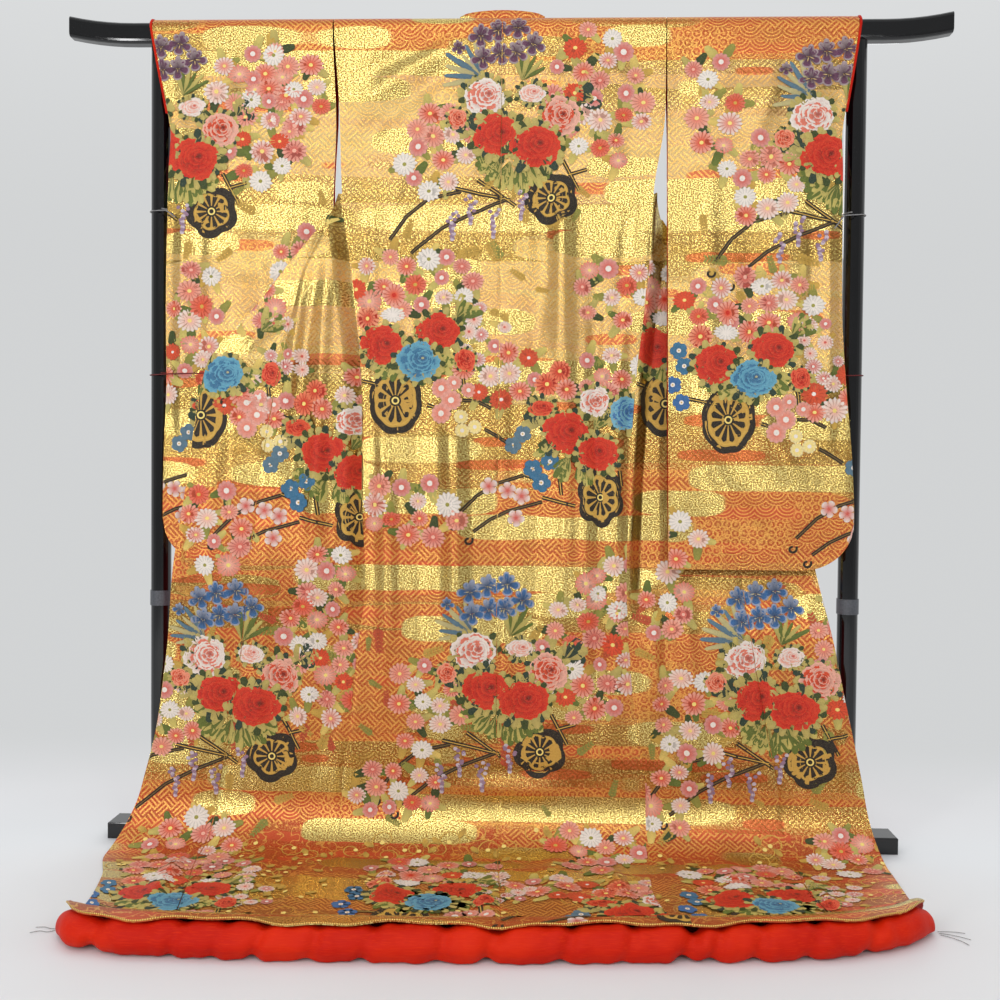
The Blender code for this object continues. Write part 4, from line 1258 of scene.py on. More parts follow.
def iris(art, x, v, size, tint):
    """An iris seen from the side: three hanging petals with a gold blaze, and three upright ones."""
    dark, light = tuple(c * 0.30 for c in tint), tuple(mix(c, w, 0.40) for c, w in zip(tint, WHITE))
    lean = art.chance.uniform(-0.3, 0.3)
    for angle, reach, wide in ((0.25, 1.05, 0.34), (2.9, 1.05, 0.34), (1.57, 0.95, 0.42)):
        art.petal(x, v, angle + lean, size * 0.05, size * reach, size * wide, dark, light, 0.70)
        art.next_layer()
        art.petal(x, v, angle + lean, size * 0.15, size * reach * 0.86, size * wide * 0.72, dark, tint, 0.72)
        art.petal(x, v, angle + lean, size * 0.10, size * reach * 0.50, size * 0.05, STRAW, tint, 0.60)
        art.layer -= 1
    art.layer += 2
    for angle, reach in ((-0.85, 0.86), (-2.3, 0.86), (-1.57, 1.0)):
        art.petal(x, v, angle + lean, size * 0.02, size * reach, size * 0.27, dark, light, 0.62)
        art.petal(x, v, angle + lean, size * 0.06, size * reach * 0.86, size * 0.17, dark, tint, 0.62)
    art.layer -= 2


def bellflower(art, x, v, size, tint):
    art.disc(x, v, size * 0.6, size * 0.6, tuple(c * 0.7 for c in tint))
    art.next_layer()
    turn = art.chance.random()
    for k in range(5):
        art.petal(x, v, turn + 2 * math.pi * k / 5, 0.0, size, size * 0.52, tuple(c * 0.75 for c in tint),
                  tint, 0.55)
    art.next_layer()
    art.disc(x, v, size * 0.26, size * 0.26, WHITE, sides=9)
    art.next_layer()
    art.disc(x, v, size * 0.11, size * 0.11, OLD_GOLD, sides=6)
    art.layer -= 3


def cherry(art, x, v, size, tint=WHITE):
    turn = art.chance.random()
    for k in range(5):
        art.petal(x, v, turn + 2 * math.pi * k / 5, size * 0.08, size, size * 0.42, ROSE, tint, 0.7)
    art.next_layer()
    art.disc(x, v, size * 0.13, size * 0.13, ROSE, sides=6)
    art.layer -= 1


def curl(art, x, v, size):
    """The rolled end of a cart shaft."""
    route = []
    for k in range(15):
        angle = -0.6 + k / 14 * 5.6
        reach = size * (1.0 - 0.045 * k)
        route.append((x + reach * math.cos(angle), v + reach * math.sin(angle)))
    art.stroke(route, [0.0042] * 15, INK)


def wheel(art, x, v, wide, high, lobes, lobe_depth, rim):
    """A lacquered cart wheel: black felloe with a scalloped or pointed outline, gold ground, spokes, hub."""
    sides = 60

    def outline(scale):
        ring = []
        for k in range(sides):
            angle = 2 * math.pi * k / sides
            lobe = 1 + lobe_depth * (abs(math.sin(lobes * angle / 2 + 0.4)) - 0.5)
            ring.append((x + wide * scale * lobe * math.cos(angle),
                         v + high * scale * lobe * math.sin(angle)))
        return ring

    def ring_piece(outer, inner, colour):
        a, b = outline(outer), outline(inner)
        rows = [[a[k % sides], b[k % sides]] for k in range(sides + 1)]
        art.strip(rows, [[colour, colour]] * (sides + 1))

    art.disc(x, v, wide * 0.9, high * 0.9, rgb(196, 152, 66), sides=24)
    art.next_layer()
    ring_piece(1.0, 1.0 - rim, INK)
    ring_piece(1.0 - rim - 0.05, 1.0 - rim - 0.10, OLD_GOLD)
    for k in range(12):
        angle = 2 * math.pi * (k + 0.5) / 12
        art.petal(x, v, angle, wide * 0.18, wide * 0.68, wide * 0.105, INK, INK, 0.85, high / wide)
    art.next_layer()
    art.disc(x, v, wide * 0.22, wide * 0.22, INK, sides=14)
    art.next_layer()
    art.disc(x, v, wide * 0.15, wide * 0.15, STRAW, sides=12)
    art.next_layer()
    art.disc(x, v, wide * 0.09, wide * 0.09, INK, sides=10)
    art.layer -= 5


def shaft(art, x, v, points):
    """A double cart shaft: two black lines with a gold one between them, bowed a little."""
    route = [(x + a, v - b) for a, b in points]
    art.stroke(route, [0.0068] * len(route), INK)
    art.next_layer()
    art.stroke(route, [0.0012] * len(route), rgb(120, 92, 40))
    art.layer -= 1


def wisteria(art, x, v, length):
    for k in range(16):
        share = k / 15
        spread = 0.013 * (1 - share)
        art.disc(x + art.chance.uniform(-spread, spread), v + share * length, 0.0042, 0.0036,
                 WISTERIA if k % 3 else rgb(196, 180, 190), sides=6)


def scattered(chance, count, across, down, apart):
    """Places spread over an oval, no two closer than apart."""
    found = []
    tries = 0
    while len(found) < count and tries < 600:
        tries += 1
        angle, reach = chance.uniform(0, 2 * math.pi), math.sqrt(chance.random())
        place = (across * reach * math.cos(angle), down * reach * math.sin(angle))
        if all(math.dist(place, other) > apart for other in found):
            found.append(place)
    return found


KIKU_TINTS = ((PALE_PINK, WHITE, STRAW), (CORAL_RED, PALE_PINK, STRAW), (PINK, PALE_PINK, STRAW),
              (WHITE, WHITE, OLIVE), (CORAL_RED, CORAL_RED, STRAW), (PALE_PINK, PINK, STRAW),
              (ROSE, PALE_PINK, PALE_PINK), (PINK, WHITE, STRAW), (CORAL_RED, PINK, OLD_GOLD))


def kiku_bank(art, x, v, across, down, count, size=0.021, tints=KIKU_TINTS):
    """A bank of chrysanthemums of mixed colours, over their leaves."""
    places = scattered(art.chance, count, across, down, size * 1.50)
    for k, (a, b) in enumerate(places):
        tint = (OLIVE, LEAF, DARK_LEAF, OLD_GOLD)[k % 4]
        leaf_fan(art, x + a, v + b, art.chance.uniform(0, 6.3), 1.4, size * 1.8, 2, tint, 0.22)
    art.next_layer()
    start = art.layer
    for k, (a, b) in enumerate(places):
        art.layer = start + 0.35 * (k % 5)
        tint, rim, heart = tints[k % len(tints)]
        grown = size * art.chance.uniform(0.8, 1.15)
        if k % 5 == 4:
            aster(art, x + a, v + b, grown * 0.8, ROSE)
        else:
            kiku(art, x + a, v + b, grown, tint, heart, rim, flat=art.chance.uniform(0.8, 1.0))
    art.layer = start - 1


def cart_bed(art, x, v, points):
    """The lacquered frame of a cart: black rails with gold between them."""
    for (a, b), (c, d) in points:
        art.stroke([(x + a, v - b), (x + c, v - d)], [0.0075, 0.0065], INK)
        art.next_layer()
        art.stroke([(x + a, v - b), (x + c, v - d)], [0.0016, 0.0016], OLD_GOLD)
        art.layer -= 1


def iris_cart(art, x, v, iris_tint):
    """Irises over pink, coral and two large red peonies on a cart with a scalloped wheel."""
    kiku_bank(art, x + 0.150, v - 0.080, 0.085, 0.130, 24)
    kiku_bank(art, x - 0.145, v + 0.020, 0.070, 0.085, 13, tints=KIKU_TINTS[:5])
    cart_bed(art, x, v, (((-0.115, -0.085), (-0.010, -0.108)), ((-0.070, -0.070), (0.000, -0.118)),
                         ((0.085, -0.035), (0.115, -0.090)), ((0.095, -0.062), (0.130, -0.052))))
    shaft(art, x, v, ((-0.100, -0.092), (-0.160, -0.106), (-0.200, -0.138), (-0.230, -0.180)))
    shaft(art, x, v, ((-0.015, -0.106), (-0.080, -0.132), (-0.135, -0.160), (-0.190, -0.205)))
    curl(art, x - 0.238, v + 0.201, 0.0085)
    curl(art, x - 0.203, v + 0.224, 0.0085)
    wheel(art, x + 0.065, v + 0.104, 0.046, 0.046, 5, 0.16, 0.30)
    art.layer += 4
    leaf_fan(art, x - 0.060, v - 0.115, -2.6, 1.5, 0.075, 7, GREY_BLUE, 0.07)
    leaf_fan(art, x + 0.010, v - 0.110, -1.2, 1.4, 0.060, 6, LEAF, 0.08)
    for angle, length in ((2.4, 0.050), (1.9, 0.052), (1.4, 0.055), (0.9, 0.055), (0.4, 0.050), (2.9, 0.045)):
        leaf_fan(art, x + 0.035 * math.cos(angle), v + 0.020 + 0.02 * math.sin(angle), angle, 0.7, length, 6,
                 LEAF)
    leaf_fan(art, x - 0.078, v - 0.022, 3.4, 1.5, 0.036, 4, TEAL, 0.30)
    leaf_fan(art, x + 0.112, v - 0.070, -0.7, 1.6, 0.040, 4, TEAL, 0.30)
    art.next_layer()
    for a, b in ((-0.066, 0.190), (-0.034, 0.200), (0.002, 0.205), (0.030, 0.175), (-0.002, 0.160),
                 (-0.062, 0.150), (-0.030, 0.158)):
        iris(art, x + a, v - b, 0.023, iris_tint)
    iris(art, x - 0.106, v - 0.168, 0.013, iris_tint)
    peony(art, x - 0.058, v - 0.080, 0.041, PINK, rgb(170, 84, 76), WHITE)
    peony(art, x + 0.027, v - 0.086, 0.026, PALE_PINK, ROSE, WHITE, 0.7)
    peony(art, x + 0.078, v - 0.044, 0.037, CORAL_RED, DARK_RED, PALE_PINK, 1.0)
    peony(art, x - 0.108, v - 0.040, 0.019, CORAL_RED, DARK_RED, rgb(240, 150, 120), 1.0)
    for a, b in ((-0.082, -0.100), (-0.040, -0.125), (0.010, -0.092), (-0.115, -0.130)):
        wisteria(art, x + a, v - b, 0.050)
    art.layer += 8
    peony(art, x - 0.034, v - 0.010, 0.046, RED, DARK_RED, RED_EDGE, 0.86)
    art.layer += 5
    peony(art, x + 0.034, v + 0.010, 0.048, RED, DARK_RED, RED_EDGE, 0.84)
    art.layer = 0


def peony_cart(art, x, v, twin=True):
    """Chrysanthemums over two red peonies and a blue one on a cart with an oval wheel."""
    kiku_bank(art, x + 0.010, v - 0.100, 0.120, 0.055, 17)
    kiku_bank(art, x + 0.130, v - 0.010, 0.045, 0.055, 8, 0.015,
              ((ROSE, WHITE, WHITE), (PALE_PINK, WHITE, ROSE)))
    for a, b in ((-0.118, 0.012), (-0.108, -0.016), (-0.128, -0.050), (-0.112, -0.082)):
        bellflower(art, x + a, v - b, 0.016, SKY if b > -0.04 else IRIS_BLUE)
    cart_bed(art, x, v, (((-0.100, -0.075), (-0.050, -0.086)), ((0.030, -0.120), (0.075, -0.135)),
                         ((0.095, -0.060), (0.098, -0.085))))
    shaft(art, x, v, ((0.095, -0.112), (0.120, -0.112), (0.148, -0.126)))
    shaft(art, x, v, ((0.136, -0.164), (0.158, -0.176), (0.180, -0.190)))
    wheel(art, x - 0.028, v + 0.113, 0.048, 0.061, 8, 0.05, 0.20)
    art.layer += 4
    for angle in (2.6, 2.1, 1.6, 1.1, 0.5):
        leaf_fan(art, x + 0.040 * math.cos(angle), v + 0.030, angle, 0.8, 0.052, 6, LEAF)
    leaf_fan(art, x + 0.085, v - 0.040, -0.8, 1.2, 0.045, 6, LEAF)
    for k, (a, b) in enumerate(((0.057, -0.090), (0.075, -0.112), (0.057, -0.136), (0.080, -0.080),
                                (0.106, -0.093))):
        aster(art, x + a, v - b, 0.019 if k < 3 else 0.014, PINK)
    for a, b in ((0.093, -0.142), (0.095, -0.167), (0.118, -0.160)):
        aster(art, x + a, v - b, 0.013, STRAW)
    kiku(art, x - 0.080, v - 0.037, 0.023, RED, STRAW, rgb(244, 170, 130))
    kiku(art, x - 0.032, v - 0.080, 0.023, CORAL_RED, RED, PALE_PINK)
    kiku(art, x - 0.034, v - 0.044, 0.024, WHITE, WHITE, WHITE, flat=0.6)
    art.layer += 5
    peony(art, x - 0.052, v + 0.013, 0.041, RED, DARK_RED, RED_EDGE)
    if twin:
        peony(art, x + 0.052, v - 0.013, 0.041, RED, DARK_RED, RED_EDGE, 0.85)
    peony(art, x + 0.100, v + 0.038, 0.019, RED, DARK_RED, rgb(232, 90, 60), 1.2)
    art.layer += 8
    peony(art, x + 0.014, v + 0.040, 0.041, SKY, DEEP_BLUE, rgb(92, 160, 184), 0.86, rgb(170, 170, 130))
    art.layer = 0


def bell_cart(art, x, v):
    """Red chrysanthemums over red and pink peonies and blue bellflowers, on a cart with a pointed wheel."""
    kiku_bank(art, x - 0.140, v - 0.120, 0.080, 0.045, 9, 0.022,
              ((CORAL_RED, PALE_PINK, STRAW), (PALE_PINK, WHITE, STRAW),
                                                                  (CORAL_RED, CORAL, WHITE)))
    kiku_bank(art, x + 0.050, v - 0.130, 0.060, 0.040, 8)
    cart_bed(art, x, v, (((-0.040, -0.055), (-0.035, -0.095)), ((-0.070, -0.100), (-0.010, -0.115)),
                         ((-0.105, -0.058), (-0.060, -0.075)), ((0.070, -0.050), (0.074, -0.078))))
    shaft(art, x, v, ((-0.105, -0.060), (-0.150, -0.074), (-0.190, -0.098), (-0.226, -0.134)))
    shaft(art, x, v, ((-0.070, -0.108), (-0.134, -0.126), (-0.165, -0.141), (-0.196, -0.164)))
    curl(art, x - 0.232, v + 0.153, 0.0085)
    curl(art, x - 0.205, v + 0.180, 0.0085)
    wheel(art, x + 0.036, v + 0.099, 0.040, 0.051, 6, 0.20, 0.24)
    art.layer += 4
    for angle in (2.7, 2.1, 1.5, 0.9, -2.4, -1.0):
        leaf_fan(art, x + 0.045 * math.cos(angle), v + 0.03 * math.sin(angle), angle, 0.8, 0.046, 6, LEAF)
    leaf_fan(art, x + 0.030, v - 0.045, -1.4, 0.9, 0.050, 6, TEAL, 0.12)
    leaf_fan(art, x - 0.070, v - 0.038, -2.6, 1.4, 0.040, 4, TEAL, 0.26)
    kiku(art, x - 0.063, v - 0.107, 0.023, RED, STRAW, rgb(240, 140, 100))
    kiku(art, x - 0.028, v - 0.097, 0.020, CORAL_RED, STRAW, PALE_PINK)
    kiku(art, x - 0.040, v - 0.130, 0.021, RED, STRAW, rgb(240, 140, 100))
    for a, b, size in ((-0.107, 0.016, 0.016), (-0.125, -0.005, 0.016), (-0.088, -0.048, 0.018),
                       (-0.056, -0.034, 0.017), (-0.072, -0.073, 0.018)):
        bellflower(art, x + a, v - b, size, GREY_BLUE if size < 0.017 else SKY)
    for a, b in ((-0.134, -0.088), (-0.108, -0.098), (-0.118, -0.138), (-0.168, -0.080)):
        cherry(art, x + a, v - b, 0.016)
    art.layer += 4
    peony(art, x + 0.024, v - 0.076, 0.031, PINK, rgb(170, 84, 76), WHITE)
    peony(art, x + 0.084, v - 0.055, 0.036, IRIS_BLUE, DEEP_BLUE, rgb(110, 170, 190))
    peony(art, x - 0.073, v - 0.064, 0.026, RED, DARK_RED, rgb(228, 84, 50), 0.6)
    art.layer += 8
    peony(art, x - 0.028, v - 0.018, 0.043, RED, DARK_RED, RED_EDGE, 0.9)
    art.layer += 5
    peony(art, x + 0.028, v + 0.018, 0.038, RED, DARK_RED, RED_EDGE)
    art.layer = 0


def leaf_spray(art, x, v, length, angle, tint):
    """A stem with paired leaves."""
    end = (x + length * math.cos(angle), v + length * math.sin(angle))
    art.stroke([(x, v), end], [0.0014, 0.0008], tint)
    for k in range(1, 7):
        share = k / 7
        px, pv = mix(x, end[0], share), mix(v, end[1], share)
        size = length * 0.26 * (1.1 - share * 0.5)
        for side in (-1, 1):
            leaf(art, px, pv, angle + side * 0.8, size, tint, 0.26)


def sprays(art, across, downs, count, tints, length=0.045):
    for _ in range(count):
        x, v = art.chance.uniform(*across), art.chance.uniform(*downs)
        leaf_spray(art, x, v, length * art.chance.uniform(0.6, 1.2), art.chance.uniform(0, 6.3),
                   art.chance.choice(tints))


def vines(art, across, downs, count):
    """Scrolling vine in gold thread with curled tips."""
    for _ in range(count):
        x, v = art.chance.uniform(*across), art.chance.uniform(*downs)
        turn, hand = art.chance.uniform(0, 6.3), art.chance.choice((-1, 1))
        route = []
        for k in range(12):
            reach = 0.024 * (1 - k / 15)
            angle = turn + hand * k * 0.55
            route.append((x + reach * math.cos(angle), v + reach * math.sin(angle)))
        art.stroke(route, [0.0022 - 0.0001 * k for k in range(12)], OLD_GOLD)
        art.next_layer()
        art.disc(*route[-1], 0.0045, 0.0045, STRAW, sides=8)
        leaf(art, *route[0], turn + hand * 1.2, 0.020, OLD_GOLD, 0.3)
        art.layer -= 1


# Each drawing runs over the sheets it is woven across. A repeat of the design is about 1.04 m long.
def back_drawing():
    art = Drawing(("back_left", "back_right"), 11)
    sprays(art, (-0.28, 0.26), (0.30, 0.56), 16, (OLD_GOLD, OLIVE))
    sprays(art, (-0.28, 0.26), (1.12, 1.50), 30, (OLD_GOLD, OLIVE, CORAL))
    vines(art, (-0.28, 0.29), (1.50, 1.90), 60)
    iris_cart(art, 0.022, 0.249, IRIS_PURPLE)
    peony_cart(art, -0.167, 0.610)
    bell_cart(art, 0.146, 0.798)
    iris_cart(art, 0.011, 1.262, IRIS_BLUE)
    peony_cart(art, -0.110, 1.745)
    kiku_bank(art, 0.200, 0.520, 0.060, 0.060, 9)
    kiku_bank(art, -0.160, 0.920, 0.090, 0.060, 12)
    kiku_bank(art, -0.190, 1.440, 0.080, 0.050, 11)
    kiku_bank(art, 0.215, 1.060, 0.040, 0.060, 6)
    kiku_bank(art, 0.180, 1.560, 0.080, 0.070, 12)
    bell_cart(art, 0.250, 1.840)
    return art


def left_front_drawing():
    art = Drawing(("front_left", "okumi_left"), 23)
    sprays(art, (-0.60, -0.27), (1.10, 1.50), 26, (OLD_GOLD, OLIVE, CORAL))
    vines(art, (-0.66, -0.26), (1.50, 1.92), 44)
    peony_cart(art, -0.520, 0.640, False)
    bell_cart(art, -0.296, 0.838)
    iris_cart(art, -0.485, 1.278, IRIS_BLUE)
    corner = float(seam_x("edge_left", 0.400))
    art.layer = 8
    art.stroke([(corner + 0.004, 0.396), (corner + 0.040, 0.393)], [0.014, 0.004], DARK_LEAF)
    art.layer = 9
    art.stroke([(corner + 0.004, 0.405), (corner + 0.026, 0.392)], [0.010, 0.004], STRAW)
    art.layer = 0
    kiku_bank(art, -0.520, 0.960, 0.060, 0.080, 11)
    kiku_bank(art, -0.330, 1.030, 0.050, 0.050, 7)
    kiku_bank(art, -0.560, 1.560, 0.080, 0.070, 12)
    peony_cart(art, -0.520, 1.765)
    return art


def right_front_drawing():
    art = Drawing(("front_right", "okumi_right"), 37)
    sprays(art, (0.24, 0.62), (1.05, 1.50), 26, (OLD_GOLD, OLIVE, CORAL))
    vines(art, (0.27, 0.70), (1.50, 1.92), 44)
    peony_cart(art, 0.330, 0.610)
    bell_cart(art, 0.640, 0.800)
    iris_cart(art, 0.504, 1.272, IRIS_BLUE)
    kiku_bank(art, 0.300, 1.090, 0.050, 0.060, 7)
    kiku_bank(art, 0.310, 1.450, 0.050, 0.060, 8)
    peony_cart(art, 0.440, 1.750)
    kiku_bank(art, 0.620, 1.560, 0.060, 0.070, 9)
    return art


def left_sleeve_drawing(layer):
    art = Drawing((f"sleeve_left_{layer}",), 41 if layer == "near" else 43)
    sprays(art, (-0.61, -0.32), (0.30, 0.52), 10, (OLD_GOLD, OLIVE))
    iris_cart(art, -0.599, 0.276, IRIS_PURPLE)
    kiku_bank(art, -0.400, 0.160, 0.070, 0.080, 13)
    kiku_bank(art, -0.560, 0.560, 0.050, 0.080, 9)
    bell_cart(art, -0.470, 0.800)
    kiku_bank(art, -0.380, 0.480, 0.050, 0.070, 8)
    return art


def right_sleeve_drawing(layer):
    art = Drawing((f"sleeve_right_{layer}",), 53 if layer == "near" else 59)
    sprays(art, (0.31, 0.60), (0.30, 0.52), 10, (OLD_GOLD, OLIVE))
    iris_cart(art, 0.613, 0.290, IRIS_PURPLE)
    peony_cart(art, 0.439, 0.641)
    bell_cart(art, 0.763, 0.834)
    kiku_bank(art, 0.370, 0.190, 0.050, 0.090, 9)
    kiku_bank(art, 0.330, 0.960, 0.040, 0.050, 4)
    return art


def front_top_drawing(side):
    sign = -1 if side == "left" else 1
    art = Drawing((f"front_{side}_top",), 61 if side == "left" else 67)
    iris_cart(art, sign * 0.200, 0.240, IRIS_PURPLE)
    return art


# ---------------------------------------------------------------- pieces

def build_cloth():
    walls = {}
    for name, sheet in SHEETS.items():
        walls[name] = cloth_wall(sheet, FINISH["brocade"], FINISH["red_lining"])
    return walls


def build_figures():
    drawings = [back_drawing(), left_front_drawing(), right_front_drawing()]
    drawings += [left_sleeve_drawing("near"), left_sleeve_drawing("far")]
    drawings += [right_sleeve_drawing("near"), right_sleeve_drawing("far")]
    drawings += [front_top_drawing("left"), front_top_drawing("right")]
    made = {}
    for art in drawings:
        for name in art.sheets:
            piece = art.mesh(SHEETS[name])
            if piece:
                made[name] = piece
    return made


def copy_node(node, name):
    source = frame["nodes"][node]
    obj = bpy.data.objects.new(name, source.data.copy())
    bpy.context.scene.collection.objects.link(obj)
    mesh = bmesh.new()
    mesh.from_mesh(obj.data)
    mesh.transform(source.matrix_world)
    bmesh.ops.remove_doubles(mesh, verts=mesh.verts, dist=0.00002)
    bmesh.ops.recalc_face_normals(mesh, faces=mesh.faces)
    mesh.to_mesh(obj.data)
    mesh.free()
    return obj


def only_select(obj):
    for other in bpy.context.view_layer.objects:
        other.select_set(other is obj)
    bpy.context.view_layer.objects.active = obj


def apply_modifier(obj, made):
    only_select(obj)
    bpy.ops.object.modifier_apply(modifier=made.name)


# Columns: x, half_width, depth
PINCHES = (
    (-0.560, 0.012, 0.0050),
    (-0.440, 0.010, 0.0045),
    (-0.378, 0.011, 0.0040),
    (-0.320, 0.009, 0.0060),
    (-0.240, 0.010, 0.0045),
    (-0.165, 0.012, 0.0050),
    (-0.060, 0.010, 0.0040),
    (0.010, 0.012, 0.0060),
    (0.118, 0.011, 0.0055),
    (0.205, 0.009, 0.0040),
    (0.290, 0.013, 0.0085),
    (0.330, 0.010, 0.0060),
    (0.392, 0.010, 0.0050),
    (0.470, 0.012, 0.0040),
    (0.560, 0.011, 0.0055),
)


def build_hem_roll():
    """The padded hem: a slightly smaller roll swelled by its wadding, then pinched where it is tacked."""
    roll = copy_node("hem_roll", "padded_hem_roll")
    mesh = bmesh.new()
    mesh.from_mesh(roll.data)
    mesh.normal_update()
    for vertex in mesh.verts:
        vertex.co -= vertex.normal * 0.0030
    mesh.to_mesh(roll.data)
    mesh.free()
    remesh = roll.modifiers.new("remesh", "REMESH")
    remesh.mode = "VOXEL"
    remesh.voxel_size = 0.0062
    apply_modifier(roll, remesh)
    rest = np.empty(len(roll.data.vertices) * 3)
    roll.data.vertices.foreach_get("co", rest)
    rest = rest.reshape(-1, 3)
    cloth = roll.modifiers.new("swell", "CLOTH")
    cloth.settings.use_pressure = True
    cloth.settings.uniform_pressure_force = 4
    cloth.settings.effector_weights.gravity = 0
    cloth.settings.quality = 4
    for step in range(1, 21):
        bpy.context.scene.frame_set(step)
    apply_modifier(roll, cloth)
    bpy.context.scene.frame_set(1)
    swelled = np.empty(len(roll.data.vertices) * 3)
    roll.data.vertices.foreach_get("co", swelled)
    swelled = swelled.reshape(-1, 3)
    move = swelled - rest
    size = np.linalg.norm(move, axis=1, keepdims=True)
    swelled = rest + move * np.minimum(1.0, 0.004 / np.maximum(size, 1e-9))
    middle_z = ROLL_HEIGHT / 2
    middle = roll_middle(swelled[:, 0]) + BAR_Y
    pull = np.zeros(len(swelled))
    for x, half_width, depth in PINCHES:
        lean = 0.35 * (swelled[:, 2] - middle_z)
        pull += 1.5 * depth * np.exp(-((swelled[:, 0] - x - lean) / half_width) ** 2)
    pull += 0.0012 * np.sin(88 * swelled[:, 0]) + 0.0008 * np.sin(210 * swelled[:, 0] + 40 * swelled[:, 2])
    out = np.stack([np.zeros(len(swelled)), swelled[:, 1] - middle, swelled[:, 2] - middle_z], -1)
    out /= np.maximum(np.linalg.norm(out, axis=1, keepdims=True), 1e-9)
    swelled = swelled - out * pull[:, None]
    swelled[:, 2] = np.clip(swelled[:, 2], 0.0003, ROLL_HEIGHT + 0.0005)
    roll.data.vertices.foreach_set("co", swelled.ravel())
    roll.data.update()
    finer = roll.modifiers.new("finer", "SUBSURF")
    finer.levels = 1
    finer.render_levels = 1
    apply_modifier(roll, finer)
    roll.data.shade_smooth()
    roll.data.materials.clear()
    roll.data.materials.append(FINISH["red_silk"])
    return roll


def smooth_route(points, count):
    """Points of a Catmull-Rom curve through a route."""
    points = [Vector(p) for p in points]
    ends = [points[0] * 2 - points[1], *points, points[-1] * 2 - points[-2]]
    made = []
    for i in range(count):
        place = i / (count - 1) * (len(points) - 1)
        k = min(int(place), len(points) - 2)
        t = place - k
        a, b, c, d = ends[k:k + 4]
        made.append(0.5 * (2 * b + (c - a) * t + (2 * a - 5 * b + 4 * c - d) * t ** 2
                           + (3 * b - a - 3 * c + d) * t ** 3))
    return made


def tube(name, points, radius, finish, sides=2, cyclic=False):
    curve = bpy.data.curves.new(name, "CURVE")
    curve.dimensions = "3D"
    curve.bevel_depth = radius
    curve.bevel_resolution = sides
    curve.use_fill_caps = not cyclic
    spline = curve.splines.new("POLY")
    spline.points.add(len(points) - 1)
    spline.use_cyclic_u = cyclic
    for point, place in zip(spline.points, points):
        point.co = (*place, 1)
    curve.materials.append(finish)
    obj = bpy.data.objects.new(name, curve)
    bpy.context.scene.collection.objects.link(obj)
    return obj


def route_length(points):
    return sum((b - a).length for a, b in zip(points, points[1:]))


PIPING_RADIUS = 0.0013


def hem_route(count=420):
    """The wavy lower edge of the woven cloth, from corner to corner."""
    left, right = (float(free_edge(side)(np.array(CLOTH_LENGTH))) for side in ("left", "right"))
    x = np.linspace(left + 0.002, right - 0.002, count)
    sheet = Sheet("hem", None, None, body_place, 0, hem_end, None)
    return sheet.points(x, hem_end(x) - 0.0006, PIPING_RADIUS * 0.6)


def stitch_tree():
    """Couching stitches at even steps along an edge, each turned to cross it and a little uneven."""
    tree = bpy.data.node_groups.new("couching_stitches", "GeometryNodeTree")
    face = tree.interface
    face.new_socket(name="Edge", in_out="INPUT", socket_type="NodeSocketGeometry")
    sockets = {}
    for name, kind, value in (("Spacing", "NodeSocketFloat", 0.009),
                              ("Stitch radius", "NodeSocketFloat", 0.0019),
                              ("Stitch width", "NodeSocketFloat", 0.0011),
                              ("Unevenness", "NodeSocketFloat", 0.35),
                              ("Seed", "NodeSocketInt", 5), ("Thread", "NodeSocketMaterial", None)):
        made = face.new_socket(name=name, in_out="INPUT", socket_type=kind)
        sockets[name] = made.identifier
        if value is not None:
            made.default_value = value
    face.new_socket(name="Stitches", in_out="OUTPUT", socket_type="NodeSocketGeometry")
    given = tree.nodes.new("NodeGroupInput").outputs

    def node(kind, settings=None, **wires):
        made = tree.nodes.new(kind)
        for key, value in (settings or {}).items():
            setattr(made, key, value)
        for key, value in wires.items():
            target = made.inputs[key.replace("_", " ")]
            if isinstance(value, bpy.types.NodeSocket):
                tree.links.new(value, target)
            else:
                target.default_value = value
        return made.outputs

    edge = node("GeometryNodeMeshToCurve", Mesh=given["Edge"])[0]
    even = node("GeometryNodeResampleCurve", {"mode": "LENGTH"}, Curve=edge, Length=given["Spacing"])[0]
    tangent = node("GeometryNodeInputTangent")[0]
    turn = node("FunctionNodeAlignRotationToVector", {"axis": "Z"}, Vector=tangent)[0]
    bead = node("GeometryNodeMeshCylinder", Vertices=8, Radius=given["Stitch radius"],
                Depth=given["Stitch width"])[0]
    least = node("ShaderNodeMath", {"operation": "SUBTRACT"})
    least_node = least[0].node
    least_node.inputs[0].default_value = 1.0
    tree.links.new(given["Unevenness"], least_node.inputs[1])
    size = tree.nodes.new("FunctionNodeRandomValue")
    size.data_type = "FLOAT"
    floats = [socket for socket in size.inputs if socket.type == "VALUE" and socket.enabled]
    tree.links.new(least[0], floats[0])
    floats[1].default_value = 1.0
    tree.links.new(given["Seed"], size.inputs["Seed"])
    drawn = next(socket for socket in size.outputs if socket.enabled)
    placed = node("GeometryNodeInstanceOnPoints", Points=even, Instance=bead, Rotation=turn, Scale=drawn)[0]
    real = node("GeometryNodeRealizeInstances", Geometry=placed)[0]
    dressed = node("GeometryNodeSetMaterial", Geometry=real, Material=given["Thread"])[0]
    tree.links.new(dressed, tree.nodes.new("NodeGroupOutput").inputs[0])
    return tree, sockets


